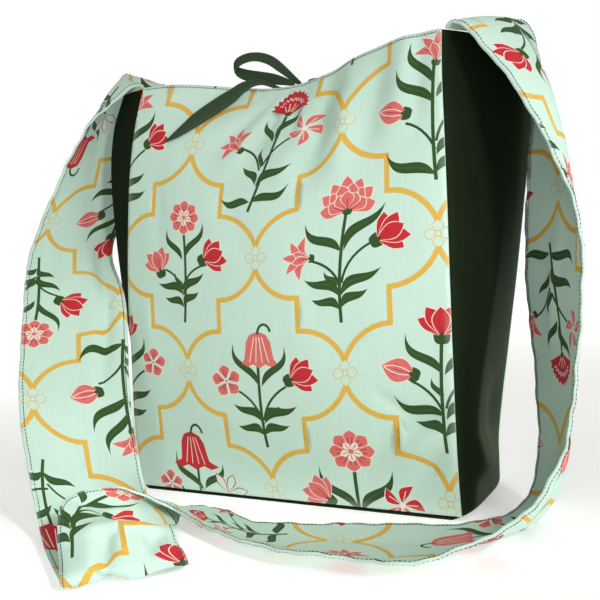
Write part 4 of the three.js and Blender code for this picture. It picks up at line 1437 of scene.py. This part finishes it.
def tie_band(name, table):
    steps = TIE_STEPS * (len(table) - 1) + 1
    shape = (steps, TIE_COLUMNS, 3)
    turn = np.tile(np.linspace(-1, 1, TIE_COLUMNS), steps)
    row = through_rows(table, np.repeat(np.linspace(0, len(table) - 1, steps), TIE_COLUMNS))
    points = row[:, PLACE] + row[:, ARROW] * turn[:, None]
    swell = TIE_SWELL * np.linalg.norm(row[:, ARROW], axis=1) * (1 - turn ** 2)
    points = points + grid_normals(points.reshape(shape)) * swell[:, None]
    grid = points.reshape(shape)
    normals = grid_normals(grid)
    run = path_length(grid[:, TIE_COLUMNS // 2])
    flat = np.stack([turn * TIE_HALF, np.repeat(run, TIE_COLUMNS)], 1)
    triangles = grid_triangles(steps, TIE_COLUMNS)
    slots = np.zeros(len(triangles), int)
    thick = TIE_WALL * (1 - TIE_THINNING * np.abs(turn) ** TIE_THIN_POWER)
    band = cloth_wall(name, points, normals, flat, triangles, slots, [TIE_GREEN], thick, hem_reach=TIE_HEM)
    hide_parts(name)
    band["length"] = float(run[-1]) * MM
    outward = normals.reshape(shape)[SEAM_STRETCH]
    seams = grid[SEAM_STRETCH] + outward * SEAM_RISE
    return band, [(seams[:, k], outward[:, k]) for k in (1, TIE_COLUMNS - 2)]


ties, tie_edges = {}, {}
for name, table in TIE_ROWS.items():
    ties[name], tie_edges[name] = tie_band(name, table)

# %% [markdown]
# The knot is a small lump of the same band wrapped over itself. The wraps could be modelled one by one,
# but they hardly show at this size. So the knot is a ball drawn out to a box, with shallow grooves that
# run slantwise round it.

# %% Knot
KNOT_CENTRE, KNOT_HALF = np.array([-8, 41.3, 329.5]), np.array([10.2, 6.4, 6.2])
KNOT_RINGS, KNOT_CORNERS, POLE = 41, 72, 0.02
BOXY_POWER = 0.8
SLANT_ACROSS, SLANT_UP = 1.1, 0.5
GROOVE_WIDE = 0.07
GROOVES = [
    # place along the slant, depth
    (-0.62, 0.12), (-0.2, 0.05), (0.5, 0.13), (0.1, 0.04),
]
KNOT_FLAT = (8, 7)


def boxy(value):
    return np.sign(value) * np.abs(value) ** BOXY_POWER


polar, turn = np.meshgrid(
    np.linspace(POLE, np.pi - POLE, KNOT_RINGS),
    np.linspace(0, 2 * np.pi, KNOT_CORNERS, endpoint=False),
    indexing="ij",
)
ring = np.sin(polar) ** BOXY_POWER
unit = np.stack([ring * boxy(np.cos(turn)), ring * boxy(np.sin(turn)), boxy(np.cos(polar))], -1)
slant = unit[..., 0] * SLANT_ACROSS + unit[..., 2] * SLANT_UP
groove = sum(depth * np.exp(-(((slant - at) / GROOVE_WIDE) ** 2)) for at, depth in GROOVES)
knot_points = (unit * (1 - groove)[..., None] * KNOT_HALF + KNOT_CENTRE).reshape(-1, 3)
knot_faces = []
for i in range(KNOT_RINGS - 1):
    this, below = i * KNOT_CORNERS, (i + 1) * KNOT_CORNERS
    for j in range(KNOT_CORNERS):
        following = (j + 1) % KNOT_CORNERS
        knot_faces.append([this + j, below + j, below + following, this + following])
last_ring = (KNOT_RINGS - 1) * KNOT_CORNERS
knot_faces += [list(range(KNOT_CORNERS)), list(range(last_ring, last_ring + KNOT_CORNERS))[::-1]]
knot_flat = np.stack([turn.ravel() * KNOT_FLAT[0], polar.ravel() * KNOT_FLAT[1]], 1)
knot_slots, knot_edge = np.zeros(len(knot_faces), int), np.zeros(len(knot_points))
knot = link_mesh("tie_knot", knot_points, knot_faces, knot_slots, [TIE_GREEN], knot_flat, knot_edge)
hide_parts("tie_knot")
print("knot faces", len(knot_faces))

# %% [markdown]
# Stitches are short rounded lengths of thread that rise out of the cloth and dip back in. They could be a
# bump in the material, but real ones catch the light at the edge of the cloth. One function lays a row of
# them along any path of points with its normals: four places along each stitch and four corners round the
# thread.

# %% Stitches
STITCH_START, STITCH_FLOOR = 0.6, 0.1
STITCH_PLACES = np.array([0.0, 0.25, 0.75, 1.0])
STITCH_LIFT = np.array([-0.7, 0.55, 0.55, -0.7])[:, None]
STITCH_FULL = np.array([0.6, 1.0, 1.0, 0.6])[:, None]
ROUND_THREAD = ((1, 0), (0, 1), (-1, 0), (0, -1))


def stitch_row(points, normals, pitch=3.0, long=2.8, radius=0.3):
    run = path_length(points)
    made, faces = [], []
    for start in np.arange(STITCH_START, run[-1] - long, pitch):
        at = start + long * STITCH_PLACES
        middle = np.stack([np.interp(at, run, points[:, k]) for k in range(3)], 1)
        up = np.stack([np.interp(at, run, normals[:, k]) for k in range(3)], 1)
        ahead = middle[-1] - middle[0]
        side = np.cross(ahead / np.linalg.norm(ahead), up)
        lift, full = STITCH_LIFT * radius, STITCH_FULL * radius
        base = len(made)
        for c, s in ROUND_THREAD:
            made.extend(middle + up * lift + side * full * c + up * full * s)
        for q in range(4):
            a, b = base + 4 * q, base + 4 * ((q + 1) % 4)
            faces.extend([a + k, a + k + 1, b + k + 1, b + k] for k in range(3))
        faces.append([base + 4 * q for q in range(4)])
        faces.append([base + 4 * q + 3 for q in (3, 2, 1, 0)])
    return np.array(made), faces


def stitches(name, rows, thread=THREAD):
    points, faces, count = [], [], 0
    for row_points, row_faces in rows:
        faces += [[k + count for k in face] for face in row_faces]
        points.append(row_points)
        count += len(row_points)
    points = np.vstack(points)
    points[:, 2] = np.maximum(points[:, 2], STITCH_FLOOR)
    slots, edge = np.zeros(len(faces), int), np.zeros(len(points))
    piece = link_mesh(name, points, faces, slots, [thread], points[:, :2], edge)
    print(name, "faces", len(faces))
    return piece


def row_on(surface, flat, thickness):
    points, normals = surface(flat), surface_normals(surface, flat)
    return [stitch_row(points + normals * side * thickness / 2, normals * side) for side in (1, -1)]


print("corners round a thread:", len(ROUND_THREAD))

# %% [markdown]
# A sewing machine leaves a row of stitches on both sides of the cloth, a little in from the edge. Curves
# with dashes could stand for them, but here the rows are laid on the surfaces that made the cloth, so
# they follow every fold. The strap has a row along each edge, each tie band has two, and each panel has
# one at its mouth.

# %% Stitch rows
STRAP_INSET, STRAP_ENDS, STRAP_PLACES = 2.6, 4, 700
PANEL_INSET, PANEL_ENDS, PANEL_PLACES = 2.2, 2, 200
TIE_PITCH, TIE_STITCH, TIE_RADIUS = 2.6, 1.9, 0.2
strap_lines = []
for edge in (-HALF + STRAP_INSET, HALF - STRAP_INSET):
    steps = np.linspace(STRAP_ENDS, STRAP_LONG - STRAP_ENDS, STRAP_PLACES)
    strap_lines += row_on(strap_surface, grid_points([edge], steps), STRAP_WALL)
strap_stitches = stitches("strap_stitches", strap_lines)
for name, edges in tie_edges.items():
    tie_lines = [stitch_row(points, normals, TIE_PITCH, TIE_STITCH, TIE_RADIUS) for points, normals in edges]
    stitches(name + "_stitches", tie_lines, TIE_THREAD)
mouth_steps = np.linspace(PANEL_LEFT + PANEL_ENDS, PANEL_LEFT + PANEL_WIDE - PANEL_ENDS, PANEL_PLACES)
mouth_line = grid_points(mouth_steps, [PANEL_FOOT + PANEL_TALL - PANEL_INSET])
front_lines = row_on(front_surface, mouth_line, PANEL_WALL)
back_lines = row_on(back_surface, mouth_line, PANEL_WALL)
front_stitches = stitches("front_panel_stitches", front_lines)
back_stitches = stitches("back_panel_stitches", back_lines)

# %% [markdown]
# A simulation of this bag would start from flat cloth. The sizes could be measured again from the meshes,
# but the lengths along the cloth are known here. This last cell counts the pieces of cloth.

print("sheets: two panels, gusset, strap and", len(ties), "tie bands")
